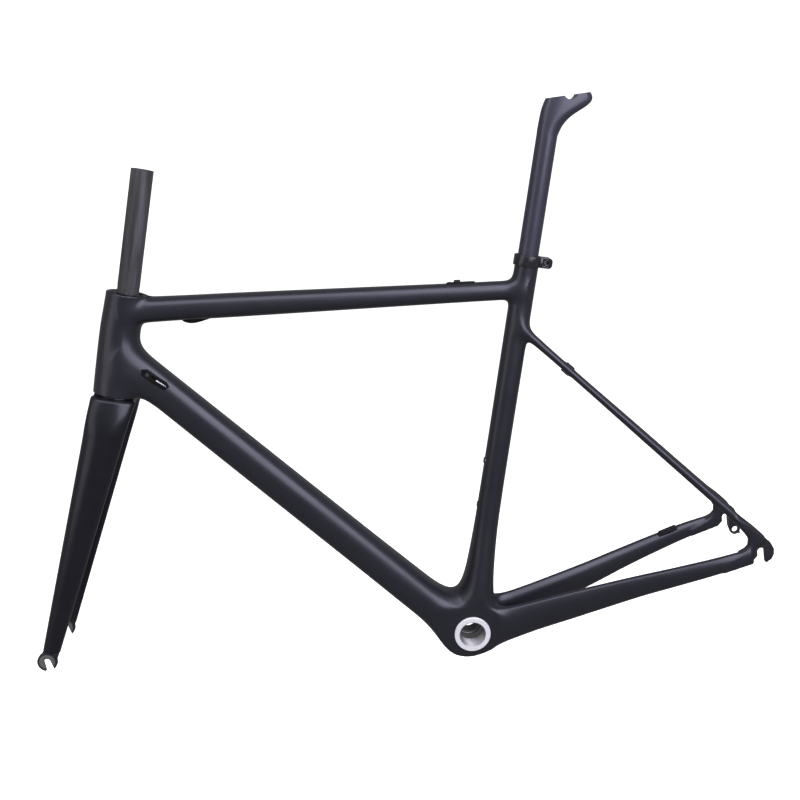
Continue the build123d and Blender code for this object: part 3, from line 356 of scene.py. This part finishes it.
def fork_field(points):
    """Distance to the carbon of the fork's crown and blades."""
    rel = points - RACE_SEAT
    s, p = rel @ STEER_DOWN, rel @ STEER_FORWARD
    y = np.sqrt(points[:, 1] ** 2 + 0.25)
    t = (s - CROWN_END) / (BLADE_END - CROWN_END)
    half_width = (21.0 - 10.5 * t) / 2
    front, rear = 27.8 + 0.0575 * s, -29.4 + 0.155 * s
    q = np.clip((p - (front + rear) / 2) / ((front - rear) / 2), -1.1, 1.1)
    middle = blade_y(s) - 6.5 * q**2 * ramp(s, 10, 60) * (1 - 0.4 * np.clip(t, 0, 1))
    tilt = blade_y(s + 0.5) - blade_y(s - 0.5)
    u = (y - middle) / np.sqrt(1 + tilt**2)
    blade = section(u, p - (front + rear) / 2, half_width, (front - rear) / 2, BLADE_POWER)
    blade = np.maximum(blade, s - BLADE_END)
    crown = straight(points, RACE_SEAT, STEER_DOWN, STEER_FORWARD, CROWN_ROWS, CROWN_POWER)
    whole = join(blade, crown, 16.0)
    arch = ARCH_R - np.hypot(s - ARCH_S, points[:, 1])
    whole = cut(whole, np.where(s < ARCH_S, arch, ARCH_R - np.abs(points[:, 1])), 7.0)
    whole = cut(whole, CROWN_TOP - s, 4.5)
    whole = cut(whole, np.minimum(RACE_SEAT_R - np.hypot(p, points[:, 1]), s), 1.0)
    return cut(whole, BRAKE_HOLE_R - np.hypot(s - BRAKE_HOLE_S, points[:, 1]), 0.5)


# ------------------------------------------------------------ meshing
BATCH = 200000  # grid points worked out at once


def nets(values, origin, step):
    """Quads of the zero surface of a grid of values (surface nets)."""
    shape = np.array(values.shape)
    cells, spots, quads = [], [], []
    inside = values < 0
    known = np.isfinite(values)
    for axis in range(3):
        low = tuple(slice(0, -1) if i == axis else slice(1, -1) for i in range(3))
        high = tuple(slice(1, None) if i == axis else slice(1, -1) for i in range(3))
        crossing = known[low] & known[high] & (inside[low] != inside[high])
        at = np.argwhere(crossing)
        at[:, [i for i in range(3) if i != axis]] += 1
        a = values[tuple(at.T)]
        nxt = at.copy()
        nxt[:, axis] += 1
        b = values[tuple(nxt.T)]
        spot = at.astype(float)
        spot[:, axis] += a / (a - b)
        e1, e2 = np.zeros(3, int), np.zeros(3, int)
        e1[(axis + 1) % 3], e2[(axis + 2) % 3] = 1, 1
        ring = np.stack([at - e1 - e2, at - e2, at, at - e1], 1)
        ids = (ring[..., 0] * shape[1] + ring[..., 1]) * shape[2] + ring[..., 2]
        ids[b < a] = ids[b < a][:, ::-1]
        quads.append(ids)
        cells.append(ids.reshape(-1))
        spots.append(np.repeat(spot, 4, 0))
    cells, spots = np.concatenate(cells), np.concatenate(spots)
    unique, index = np.unique(cells, return_inverse=True)
    count = np.bincount(index)
    verts = np.stack([np.bincount(index, spots[:, i]) / count for i in range(3)], -1)
    faces = np.searchsorted(unique, np.concatenate(quads))
    return origin + verts * step, faces


def gradient(field, points, reach=0.4):
    """Slope of a field at each point."""
    out = np.empty_like(points)
    for i in range(3):
        shift = np.zeros(3)
        shift[i] = reach
        out[:, i] = (field(points + shift) - field(points - shift)) / (2 * reach)
    return out


def newton_step(field, verts):
    """Points moved along the field's slope towards its zero surface."""
    slope = gradient(field, verts)
    return verts - slope * (field(verts) / np.maximum((slope**2).sum(-1), 0.2))[:, None]


def surface(field, low, high, step, rounds=2):
    """Vertices and quads of a field's zero surface, evened out and put back on it."""
    low, high = np.array(low, float), np.array(high, float)
    coarse = 6
    big = step * coarse
    n = np.ceil((high - low) / big).astype(int)
    middles = np.stack(np.meshgrid(*[np.arange(k) for k in n], indexing="ij"), -1).reshape(-1, 3)
    near = np.abs(field(low + (middles + 0.5) * big)) < big * 1.25
    local = np.stack(np.meshgrid(*[np.arange(coarse)] * 3, indexing="ij"), -1).reshape(-1, 3)
    fine = (middles[near][:, None] * coarse + local[None]).reshape(-1, 3)
    values = np.full(n * coarse + 1, np.nan, np.float32)
    for start in range(0, len(fine), BATCH):
        part = fine[start:start + BATCH]
        values[tuple(part.T)] = field(low + part * step)
    verts, faces = nets(values, low, step)
    edges = np.concatenate([faces[:, [i, (i + 1) % 4]] for i in range(4)])
    edges = np.unique(np.sort(edges, 1), axis=0)
    count = np.bincount(edges.reshape(-1), minlength=len(verts))[:, None]
    for _ in range(rounds):
        total = np.zeros_like(verts)
        for i in range(3):
            total[:, i] = np.bincount(edges[:, 0], verts[edges[:, 1], i], len(verts)) + np.bincount(
                edges[:, 1], verts[edges[:, 0], i], len(verts)
            )
        verts = verts * 0.4 + total / count * 0.6
        verts = newton_step(field, verts)
    return newton_step(field, verts), faces


def mesh_object(name, verts, faces, smooth=True):
    """Object from arrays of vertices in metres and faces."""
    mesh = bpy.data.meshes.new(name)
    mesh.from_pydata([tuple(v) for v in verts], [], [tuple(int(i) for i in f) for f in faces])
    mesh.update()
    mesh.validate()
    obj = bpy.data.objects.new(name, mesh)
    bpy.context.scene.collection.objects.link(obj)
    if smooth:
        mesh.polygons.foreach_set("use_smooth", [True] * len(mesh.polygons))
    return obj


def relax_normals(obj, field):
    """Shade a skin by the slope of its field, where it lies on the field."""
    mesh = obj.data
    co = np.empty(len(mesh.vertices) * 3)
    mesh.vertices.foreach_get("co", co)
    points = co.reshape(-1, 3) / MM
    slope = gradient(field, points)
    slope /= np.linalg.norm(slope, axis=1, keepdims=True) + 1e-9
    off = np.abs(field(points)) > 0.05
    own = np.empty(len(mesh.vertices) * 3)
    mesh.vertices.foreach_get("normal", own)
    slope[off] = own.reshape(-1, 3)[off]
    mesh.normals_split_custom_set_from_vertices([tuple(n) for n in slope])


def near_axis(centre, origin, axis, radius, low, high):
    """True if a point is within radius of an axis, between two stations on it."""
    rel = centre - Vector(origin) * MM
    along = rel.dot(Vector(axis))
    away = (rel - Vector(axis) * along).length
    return away < radius * MM and low * MM < along < high * MM


def open_end(obj, origin, axis, reach, bore, depth, chamfer=0.6, count=96):
    """Cut a skin square at a plane and give the opening a rim and a bore wall."""
    bm = bmesh.new()
    bm.from_mesh(obj.data)
    axis = Vector(axis)
    region = [f for f in bm.faces if near_axis(f.calc_center_median(), origin, axis, reach, -14, 30)]
    edges = {e for f in region for e in f.edges}
    corners = {v for f in region for v in f.verts}
    geom = list(edges | corners | set(region))
    centre = Vector(origin) * MM
    out = bmesh.ops.bisect_plane(bm, geom=geom, dist=1e-6, plane_co=centre, plane_no=axis, clear_outer=True)
    rim = [g for g in out["geom_cut"] if isinstance(g, bmesh.types.BMEdge) and g.is_boundary]
    side = Vector((0, 1, 0))
    other = axis.cross(side)
    rings = []
    for r, down in ((bore + chamfer, 0.0), (bore, chamfer), (bore, depth)):
        ring = []
        for i in range(count):
            a = 2 * math.pi * i / count
            spoke = side * math.cos(a) + other * math.sin(a)
            ring.append(bm.verts.new(centre + spoke * r * MM - axis * down * MM))
        rings.append(ring)
    for inner, outer in zip(rings[1:], rings[:-1]):
        for i in range(count):
            j = (i + 1) % count
            bm.faces.new((outer[i], outer[j], inner[j], inner[i]))
    first = [bm.edges.get((rings[0][i], rings[0][(i + 1) % count])) for i in range(count)]
    bmesh.ops.bridge_loops(bm, edges=rim + first)
    mouth = [f for f in bm.faces if near_axis(f.calc_center_median(), origin, axis, reach, -depth - 2, 1)]
    bmesh.ops.recalc_face_normals(bm, faces=mouth)
    bm.to_mesh(obj.data)
    bm.free()
    obj.data.polygons.foreach_set("use_smooth", [True] * len(obj.data.polygons))


def remove_faces(obj, test):
    """Delete the faces whose middle passes a test."""
    bm = bmesh.new()
    bm.from_mesh(obj.data)
    bmesh.ops.delete(bm, geom=[f for f in bm.faces if test(f.calc_center_median())], context="FACES")
    bm.to_mesh(obj.data)
    bm.free()


def sharp_by_angle(obj, angle):
    """Smooth shading with hard edges above an angle."""
    mesh = obj.data
    mesh.polygons.foreach_set("use_smooth", [True] * len(mesh.polygons))
    mesh.set_sharp_from_angle(angle=math.radians(angle))


def apply_modifiers(obj):
    """Turn an object's modifiers into its mesh."""
    graph = bpy.context.evaluated_depsgraph_get()
    mesh = bpy.data.meshes.new_from_object(obj.evaluated_get(graph))
    obj.modifiers.clear()
    obj.data = mesh


def rounded_copy(name, node, width, segments=3, angle=32.0):
    """The shape of a CAD node with its sharp edges broken."""
    bm = bmesh.new()
    bm.from_mesh(NODES[node].data)
    bmesh.ops.remove_doubles(bm, verts=bm.verts, dist=2e-6)
    bmesh.ops.dissolve_limit(bm, angle_limit=math.radians(1.0), verts=bm.verts, edges=bm.edges, delimit={"NORMAL"})
    mesh = bpy.data.meshes.new(name)
    bm.to_mesh(mesh)
    bm.free()
    obj = bpy.data.objects.new(name, mesh)
    bpy.context.scene.collection.objects.link(obj)
    bevel = obj.modifiers.new("bevel", "BEVEL")
    bevel.width = width * MM
    bevel.segments = segments
    bevel.limit_method = "ANGLE"
    bevel.angle_limit = math.radians(angle)
    bevel.use_clamp_overlap = True
    bevel.harden_normals = True
    apply_modifiers(obj)
    obj.data.polygons.foreach_set("use_smooth", [True] * len(obj.data.polygons))
    return obj


def lathe(name, origin, axis, side, profile, count):
    """Turned piece from (along, radius) points round an axis."""
    origin, axis, side = np.array(origin), np.array(axis), np.array(side)
    other = np.cross(axis, side)
    verts, faces = [], []
    for i in range(count):
        a = 2 * math.pi * i / count
        radial = side * math.cos(a) + other * math.sin(a)
        for along, r in profile:
            verts.append((origin + axis * along + radial * r) * MM)
    n = len(profile)
    for i in range(count):
        j = (i + 1) % count
        for k in range(n - 1):
            faces.append((i * n + k, i * n + k + 1, j * n + k + 1, j * n + k))
    return mesh_object(name, verts, faces)


def tidy_normals(obj):
    """Point every face outwards."""
    bm = bmesh.new()
    bm.from_mesh(obj.data)
    bmesh.ops.remove_doubles(bm, verts=bm.verts, dist=1e-7)
    bmesh.ops.recalc_face_normals(bm, faces=bm.faces)
    bm.to_mesh(obj.data)
    bm.free()


# ------------------------------------------------------------ materials
def material(name):
    """New material with its node tree and main shader."""
    mat = bpy.data.materials.new(name)
    mat.use_nodes = True
    return mat, mat.node_tree.nodes, mat.node_tree.links, mat.node_tree.nodes["Principled BSDF"]


def noise(nodes, links, vector, scale, detail=3.0, rough=0.5):
    """Noise texture's value."""
    tex = nodes.new("ShaderNodeTexNoise")
    tex.inputs["Scale"].default_value = scale
    tex.inputs["Detail"].default_value = detail
    tex.inputs["Roughness"].default_value = rough
    links.new(vector, tex.inputs["Vector"])
    return tex.outputs["Fac"]


def spread(nodes, links, value, low, high):
    """Map the middle half of a 0..1 value between two numbers."""
    node = nodes.new("ShaderNodeMapRange")
    node.inputs["From Min"].default_value = 0.25
    node.inputs["From Max"].default_value = 0.75
    node.inputs["To Min"].default_value = low
    node.inputs["To Max"].default_value = high
    links.new(value, node.inputs["Value"])
    return node.outputs["Result"]


def tint(nodes, links, value, dark, light):
    """Colour between two, by a 0..1 value."""
    node = nodes.new("ShaderNodeMix")
    node.data_type = "RGBA"
    node.inputs["A"].default_value = (*dark, 1)
    node.inputs["B"].default_value = (*light, 1)
    links.new(value, node.inputs["Factor"])
    return node.outputs["Result"]


def bump(nodes, links, shader, height, strength, distance, before=None):
    """Bump on the shader's normal, distance in mm, over the bump before it."""
    node = nodes.new("ShaderNodeBump")
    node.inputs["Strength"].default_value = strength
    node.inputs["Distance"].default_value = distance * MM
    links.new(height, node.inputs["Height"])
    if before is not None:
        links.new(before, node.inputs["Normal"])
    links.new(node.outputs["Normal"], shader.inputs["Normal"])
    return node.outputs["Normal"]


def object_space(nodes, links, direction=None, squeeze=(1, 1, 1)):
    """Object coordinates, turned so that Z runs along a direction."""
    coord = nodes.new("ShaderNodeTexCoord")
    if direction is None:
        return coord.outputs["Object"]
    turn = Vector(direction).rotation_difference(Vector((0, 0, 1))).to_euler()
    first = nodes.new("ShaderNodeMapping")
    first.inputs["Rotation"].default_value = turn
    links.new(coord.outputs["Object"], first.inputs["Vector"])
    second = nodes.new("ShaderNodeMapping")
    second.inputs["Scale"].default_value = squeeze
    links.new(first.outputs["Vector"], second.inputs["Vector"])
    return second.outputs["Vector"]


def carbon_paint(name, rough, dark, light, lumps=0.25, specular=0.5):
    """Black satin lacquer over carbon: faint mottling, soft lumps, fine peel."""
    mat, nodes, links, shader = material(name)
    vector = object_space(nodes, links)
    mottle = noise(nodes, links, vector, 38.0, 4.0, 0.55)
    shader.inputs["Roughness"].default_value = rough
    links.new(tint(nodes, links, mottle, dark, light), shader.inputs["Base Color"])
    links.new(spread(nodes, links, noise(nodes, links, vector, 24.0, 3.0), rough - 0.035, rough + 0.045),
              shader.inputs["Roughness"])
    shader.inputs["Specular IOR Level"].default_value = specular
    shader.inputs["Specular Tint"].default_value = (0.86, 0.86, 1.0, 1)
    shader.inputs["Coat Weight"].default_value = 0.12
    shader.inputs["Coat Roughness"].default_value = 0.16
    wave = bump(nodes, links, shader, noise(nodes, links, vector, 16.0, 2.0), lumps, 2.0)
    bump(nodes, links, shader, noise(nodes, links, vector, 900.0, 2.0), 0.05, 0.1, wave)
    return mat


def raw_carbon(name, direction):
    """Ground bare carbon: long streaks, light resin lines and pits."""
    mat, nodes, links, shader = material(name)
    grain = object_space(nodes, links, direction, (1, 1, 0.06))
    plain = object_space(nodes, links)
    streak = noise(nodes, links, grain, 330.0, 5.0, 0.62)
    broad = noise(nodes, links, grain, 90.0, 3.0, 0.5)
    both = nodes.new("ShaderNodeMath")
    both.operation = "MULTIPLY"
    links.new(streak, both.inputs[0])
    links.new(broad, both.inputs[1])
    factor = nodes.new("ShaderNodeMapRange")
    factor.inputs["From Min"].default_value = 0.14
    factor.inputs["From Max"].default_value = 0.42
    links.new(both.outputs[0], factor.inputs["Value"])
    colour = tint(nodes, links, factor.outputs["Result"], (0.015, 0.015, 0.017), (0.062, 0.062, 0.070))
    links.new(colour, shader.inputs["Base Color"])
    links.new(spread(nodes, links, streak, 0.38, 0.62), shader.inputs["Roughness"])
    first = bump(nodes, links, shader, streak, 0.35, 0.35)
    bump(nodes, links, shader, noise(nodes, links, plain, 140.0, 3.0), 0.2, 0.5, first)
    return mat


def metal(name, dark, light, rough, scale=260.0, metallic=1.0, strength=0.08):
    """Machined or anodised metal with fine tool marks and uneven sheen."""
    mat, nodes, links, shader = material(name)
    vector = object_space(nodes, links)
    marks = noise(nodes, links, vector, scale, 4.0, 0.6)
    links.new(tint(nodes, links, marks, dark, light), shader.inputs["Base Color"])
    links.new(spread(nodes, links, marks, max(rough - 0.07, 0.05), rough + 0.09), shader.inputs["Roughness"])
    shader.inputs["Metallic"].default_value = metallic
    bump(nodes, links, shader, noise(nodes, links, vector, scale * 3, 2.0), strength, 0.1)
    return mat


def moulded(name, dark, light, rough):
    """Moulded black plastic with a fine grain."""
    mat, nodes, links, shader = material(name)
    vector = object_space(nodes, links)
    links.new(tint(nodes, links, noise(nodes, links, vector, 120.0), dark, light), shader.inputs["Base Color"])
    links.new(spread(nodes, links, noise(nodes, links, vector, 500.0), rough - 0.05, rough + 0.08),
              shader.inputs["Roughness"])
    shader.inputs["Specular IOR Level"].default_value = 0.12
    bump(nodes, links, shader, noise(nodes, links, vector, 1500.0), 0.12, 0.08)
    return mat


def worn_tip(name, centre, reach):
    """Black metal rubbed to bare grey in a ring round the axle."""
    mat, nodes, links, shader = material(name)
    vector = object_space(nodes, links)
    marks = noise(nodes, links, vector, 420.0, 4.0, 0.65)
    rub = None
    for y in (-1, 1):
        away = nodes.new("ShaderNodeVectorMath")
        away.operation = "DISTANCE"
        away.inputs[1].default_value = Vector((centre[0], y * centre[1], centre[2])) * MM
        links.new(vector, away.inputs[0])
        near = nodes.new("ShaderNodeMapRange")
        near.inputs["From Min"].default_value = (reach + 1.2) * MM
        near.inputs["From Max"].default_value = (reach - 0.6) * MM
        links.new(away.outputs["Value"], near.inputs["Value"])
        if rub is None:
            rub = near.outputs["Result"]
        else:
            add = nodes.new("ShaderNodeMath")
            add.operation = "MAXIMUM"
            links.new(rub, add.inputs[0])
            links.new(near.outputs["Result"], add.inputs[1])
            rub = add.outputs[0]
    worn = tint(nodes, links, marks, (0.085, 0.083, 0.08), (0.20, 0.195, 0.19))
    mix = nodes.new("ShaderNodeMix")
    mix.data_type = "RGBA"
    mix.inputs["A"].default_value = (0.018, 0.018, 0.021, 1)
    links.new(worn, mix.inputs["B"])
    links.new(rub, mix.inputs["Factor"])
    links.new(mix.outputs["Result"], shader.inputs["Base Color"])
    links.new(spread(nodes, links, marks, 0.34, 0.5), shader.inputs["Roughness"])
    shader.inputs["Metallic"].default_value = 0.35
    bump(nodes, links, shader, marks, 0.15, 0.1)
    return mat


FRAME_PAINT = carbon_paint("frame_paint", 0.37, (0.0075, 0.0075, 0.0108), (0.0110, 0.0110, 0.0155))
FORK_PAINT = carbon_paint("fork_paint", 0.31, (0.0042, 0.0042, 0.0062), (0.0065, 0.0065, 0.0095), specular=0.34)
POST_PAINT = carbon_paint("post_paint", 0.34, (0.0190, 0.0186, 0.0290), (0.0270, 0.0262, 0.0400), lumps=0.12)
STEERER_CARBON = raw_carbon("steerer_carbon", STEER_UP)
RAW_ALLOY = metal("raw_alloy", (0.72, 0.71, 0.73), (0.86, 0.85, 0.87), 0.45, metallic=0.25)
# Darker copy of the shell's alloy for the inside of the bore: painted shade in the recess.
BORE_PAINTED_SHADE = metal("bore_painted_shade", (0.20, 0.20, 0.21), (0.30, 0.30, 0.31), 0.38, metallic=0.7)
SLEEVE = metal("sleeve_metal", (0.42, 0.42, 0.42), (0.6, 0.6, 0.6), 0.34)
BLACK_METAL = metal("black_metal", (0.012, 0.012, 0.014), (0.024, 0.024, 0.027), 0.30, metallic=0.2)
GLOSS_METAL = metal(
    "clamp_black", (0.010, 0.010, 0.013), (0.014, 0.014, 0.018), 0.20, scale=60, metallic=0.1, strength=0.01
)
PORT_BLACK = moulded("port_black", (0.004, 0.004, 0.005), (0.009, 0.009, 0.010), 0.42)
BEARING_STEEL = metal("bearing_steel", (0.30, 0.30, 0.30), (0.5, 0.5, 0.5), 0.3)
TIP_Y, TIP_WORN_R = 52.75, 10.5
TIP_METAL = worn_tip("tip_metal", (FRONT_AXLE[0], TIP_Y, FRONT_AXLE[2]), TIP_WORN_R)
PORT_ALLOY = metal("port_alloy", (0.10, 0.10, 0.11), (0.28, 0.28, 0.30), 0.24, scale=180)
# Bright alloy of the rods in the cable ports: a painted highlight on the ports' edge.
PORT_GLINT_ALLOY = metal("port_glint_alloy", (0.60, 0.60, 0.64), (0.85, 0.85, 0.90), 0.24, scale=180, metallic=0.5)


def finish_piece(obj, mat, body, slot, *nodes):
    """Material, body and the CAD nodes that a piece stands for; the slot is not used."""
    obj.data.materials.clear()
    obj.data.materials.append(mat)
    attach(obj, body)
    if nodes:
        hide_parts(*nodes)
    return obj


# ------------------------------------------------------------ frame skin
STEP = 2.0  # grid of the skins, mm
box_low = np.array(CAD_BOX[0]) / MM
box_high = np.array(CAD_BOX[1]) / MM
verts, faces = surface(frame_field, (box_low[0] + 2, -84, -42), (452, 84, 566), STEP)
skin = mesh_object("frame_skin", verts * MM, faces)
open_end(skin, steer(HEAD_TOP + 0.35), STEER_UP, 27.0, 20.9, 12)
open_end(skin, steer(HEAD_BOTTOM - 0.35), STEER_DOWN, 31.5, 25.9, 8)
open_end(skin, seat(531), SEAT_UP, 22, 13.66, 30)
remove_faces(skin, lambda c: abs(c.y) > (BB_HALF - 3) * MM and math.hypot(c.x, c.z) < 23 * MM)
relax_normals(skin, frame_field)
finish_piece(
    skin, FRAME_PAINT, "frame", "frame_carbon", "head_tube", "seat_tube", "top_tube", "down_tube",
    "bb_junction", "chainstay_left", "chainstay_right", "seatstay_left", "seatstay_right", "brake_bridge",
)

# ------------------------------------------------------------ fork skin
fork_low = np.array(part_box("fork_blade_left")[0]) / MM
verts, faces = surface(fork_field, (390, -72, fork_low[2] - 6), (600, 72, 430), STEP * 0.75)
fork = mesh_object("fork_skin", verts * MM, faces)
relax_normals(fork, fork_field)
finish_piece(fork, FORK_PAINT, "fork", "fork_carbon", "fork_crown", "fork_blade_left", "fork_blade_right")

# ------------------------------------------------------------ bottom bracket shell
SHELL_HALF, SHELL_R, BORE_R, RELIEF_R = 34.0, 25.3, 16.95, 18.3
THREAD_PITCH, THREAD_DEPTH, THREAD_FROM, THREAD_TO = 1.058, 0.55, 10.0, 32.6
near_bore = [(SHELL_HALF - 0.7, SHELL_R), (SHELL_HALF, SHELL_R - 0.6), (SHELL_HALF, BORE_R + 1.6)]
near_bore += [(SHELL_HALF - 1.1, BORE_R + 0.5)]
turns = int((THREAD_TO - THREAD_FROM) / THREAD_PITCH)
for turn in range(turns):
    at = THREAD_TO - turn * THREAD_PITCH
    near_bore += [(at, BORE_R + THREAD_DEPTH), (at - 0.45, BORE_R + 0.04), (at - 0.62, BORE_R + 0.04)]
near_bore += [(THREAD_FROM - 0.8, BORE_R + 0.04), (THREAD_FROM - 1.6, RELIEF_R)]
shell_outline = near_bore + [(-along, r) for along, r in reversed(near_bore)]
shell = lathe("bb_shell_turned", (0, 0, 0), Y_AXIS, (1, 0, 0), shell_outline + shell_outline[:1], 128)
tidy_normals(shell)
sharp_by_angle(shell, 24.0)
finish_piece(shell, RAW_ALLOY, "frame", "raw_aluminium", "bb_shell")
# Faces inside the bore take the darker alloy, painted shade in the recess.
shell.data.materials.append(BORE_PAINTED_SHADE)
for face in shell.data.polygons:
    from_axis = math.hypot(face.center.x, face.center.z)
    if from_axis < (RELIEF_R + 0.1) * MM and abs(face.center.y) < (SHELL_HALF - 0.2) * MM:
        face.material_index = 1

# ------------------------------------------------------------ brake bridge boss
RIM_HALF, RIM_BORE, RIM_R, RIM_EDGE = 7.0, 5.2, 6.6, 0.4
rim_end = [(RIM_HALF, RIM_BORE), (RIM_HALF, RIM_R - RIM_EDGE), (RIM_HALF - RIM_EDGE, RIM_R)]
boss_ring = [(-along, r) for along, r in rim_end] + rim_end[::-1] + [(-RIM_HALF, RIM_BORE)]
bridge_ring = lathe("brake_bridge_rim", BRIDGE, BRIDGE_AXIS, Y_AXIS, boss_ring, 64)
tidy_normals(bridge_ring)
sharp_by_angle(bridge_ring, 30.0)
finish_piece(bridge_ring, FRAME_PAINT, "frame", "frame_carbon")

# ------------------------------------------------------------ bright rods in the cable ports, a painted highlight
GLINT_ROD_R, GLINT_ROD_FROM, GLINT_ROD_TO, GLINT_ROD_UPPER_Y, GLINT_ROD_LOWER_Y = 1.15, 2.0, 17.0, 23.4, 22.3
for side, label in ((1, "left"), (-1, "right")):
    upper = PORT_AT + PORT_ALONG * GLINT_ROD_FROM + Y_AXIS * GLINT_ROD_UPPER_Y
    lower = PORT_AT + PORT_ALONG * GLINT_ROD_TO + Y_AXIS * GLINT_ROD_LOWER_Y
    mid, run = (upper + lower) / 2 * (1, side, 1), (lower - upper) * (1, side, 1)
    half = np.linalg.norm(run) / 2
    tube = [(-half, 0.7), (-half, 1.0), (0.15 - half, GLINT_ROD_R)]
    tube += [(half - 0.15, GLINT_ROD_R), (half, 1.0), (half, 0.7), (-half, 0.7)]
    # Each rod is a painted highlight along the port's edge.
    glint_rod = lathe("port_glint_rod_" + label, mid, run / (2 * half), Y_AXIS, tube, 32)
    tidy_normals(glint_rod)
    finish_piece(glint_rod, PORT_GLINT_ALLOY, "frame", "insert_metal")

# ------------------------------------------------------------ machined and moulded pieces
BROKEN_EDGES = {
    "dropout_left": (BLACK_METAL, "rear_dropout", 0.9), "dropout_right": (BLACK_METAL, "rear_dropout", 0.9),
    "derailleur_hanger": (BLACK_METAL, "rear_dropout", 0.5), "seat_clamp_band": (GLOSS_METAL, "clamp_black", 0.7),
    "fork_tip_left": (TIP_METAL, "front_dropout", 0.7), "fork_tip_right": (TIP_METAL, "front_dropout", 0.7),
    "toptube_cable_stop": (PORT_BLACK, "port_black", 0.3), "toptube_cable_entry": (PORT_BLACK, "port_black", 0.3),
    "downtube_port_left": (PORT_BLACK, "port_black", 0.35), "downtube_port_right": (PORT_BLACK, "port_black", 0.35),
    "chainstay_cable_stop": (PORT_BLACK, "port_black", 0.3), "seat_clamp_bolt": (GLOSS_METAL, "bright_steel", 0.25),
    "seat_clamp_nut": (GLOSS_METAL, "bright_steel", 0.25),
}
for node, (mat, slot, width) in BROKEN_EDGES.items():
    piece = rounded_copy(node + "_piece", node, width)
    finish_piece(piece, mat, "fork" if node.startswith("fork") else "frame", slot, node)

# ------------------------------------------------------------ CAD nodes that stay
PLAIN = {
    "steerer": STEERER_CARBON, "seatpost_tube": POST_PAINT, "seatpost_head": POST_PAINT,
    "bottle_inserts": SLEEVE, "bottle_screws": BLACK_METAL, "brake_bridge_insert": SLEEVE,
    "crown_brake_insert": SLEEVE, "hanger_bolts": BLACK_METAL, "port_screws": PORT_ALLOY,
    "toptube_stop_screw": BLACK_METAL,
    "crown_race": BLACK_METAL, "centring_ring": BLACK_METAL, "upper_bearing_outer_race": BEARING_STEEL,
    "upper_bearing_inner_race": BEARING_STEEL, "upper_bearing_balls": BEARING_STEEL,
    "lower_bearing_outer_race": BEARING_STEEL, "lower_bearing_inner_race": BEARING_STEEL,
    "lower_bearing_balls": BEARING_STEEL,
}
for node, mat in PLAIN.items():
    for place in NODES[node].material_slots:
        place.material = mat


# ------------------------------------------------------------ studio
def glowing(name, colour, strength):
    """Even white surface for the floor and the backdrop."""
    mat, nodes, links, shader = material(name)
    shader.inputs["Base Color"].default_value = (*colour, 1)
    shader.inputs["Roughness"].default_value = 0.9
    shader.inputs["Emission Color"].default_value = (1, 1, 1, 1)
    shader.inputs["Emission Strength"].default_value = strength
    return mat


def stage_only(obj, mat):
    """Scenery seen by the camera alone: it neither lights nor shades the part."""
    obj.data.materials.append(mat)
    obj.visible_glossy = False
    obj.visible_diffuse = False
    obj.visible_shadow = False


FLOOR_Z, STAGE_R, STAGE_RINGS, STAGE_SIDES = -0.27, 9.0, 12, 48
corners = [(x * STAGE_R, y * STAGE_R, FLOOR_Z) for x, y in ((-1, -1), (1, -1), (1, 1), (-1, 1))]
floor = mesh_object("studio_floor", corners, [(0, 1, 2, 3)], False)
stage_only(floor, glowing("studio_white", (0.9, 0.9, 0.9), 0.9))
verts, faces = [], []
for ring in range(STAGE_RINGS + 1):
    lift = math.radians(-90 + 180 / STAGE_RINGS * ring)
    out, up = STAGE_R * math.cos(lift), STAGE_R * math.sin(lift)
    for i in range(STAGE_SIDES):
        turn = 2 * math.pi * i / STAGE_SIDES
        verts.append((out * math.cos(turn), out * math.sin(turn), up))
for ring in range(STAGE_RINGS):
    low, high = ring * STAGE_SIDES, (ring + 1) * STAGE_SIDES
    for i in range(STAGE_SIDES):
        j = (i + 1) % STAGE_SIDES
        faces.append((low + i, low + j, high + j, high + i))
backdrop = mesh_object("studio_backdrop", verts, faces, False)
stage_only(backdrop, glowing("studio_backdrop", (0.9, 0.9, 0.9), 1.0))

world = bpy.data.worlds.new("studio")
bpy.context.scene.world = world
world.use_nodes = True
world.node_tree.nodes["Background"].inputs["Color"].default_value = (0.96, 0.97, 1.0, 1)
world.node_tree.nodes["Background"].inputs["Strength"].default_value = 0.28

MIDDLE = Vector((0.05, 0, 0.33))


def softbox(name, turn, lift, away, size, radiance, colour):
    """Softbox at an angle round from the camera's side and up, facing the part."""
    turn, lift = math.radians(turn), math.radians(lift)
    side, front = math.sin(turn) * math.cos(lift), math.cos(turn) * math.cos(lift)
    place = MIDDLE + away * Vector((side, front, math.sin(lift)))
    data = bpy.data.lights.new(name, "AREA")
    data.shape = "RECTANGLE"
    data.size, data.size_y = size
    data.energy = radiance * math.pi * size[0] * size[1]
    data.color = colour
    light = bpy.data.objects.new(name, data)
    bpy.context.scene.collection.objects.link(light)
    light.location = place
    light.rotation_euler = (MIDDLE - place).to_track_quat("-Z", "Y").to_euler()
    return light


softbox("right_box", -34, 24, 2.2, (1.9, 1.8), 5.0, (0.90, 0.88, 1.0))
softbox("left_box", 58, 18, 2.2, (1.2, 1.6), 1.3, (1.0, 0.98, 0.97))
softbox("top_box", 0, 62, 1.7, (2.6, 1.0), 3.6, (0.90, 0.90, 1.0))

# ------------------------------------------------------------ camera, fitted to the photo
camera = bpy.data.objects.new("camera", bpy.data.cameras.new("camera"))
bpy.context.scene.collection.objects.link(camera)
camera.location = (0.090828, 1.415405, 0.703361)
camera.rotation_euler = [math.radians(a) for a in (75.5637452, 8.3074015, 176.2511379)]
camera.data.sensor_width = 36.0
camera.data.lens = 48.6351765
bpy.context.scene.camera = camera
bpy.context.scene.view_settings.view_transform = "Standard"
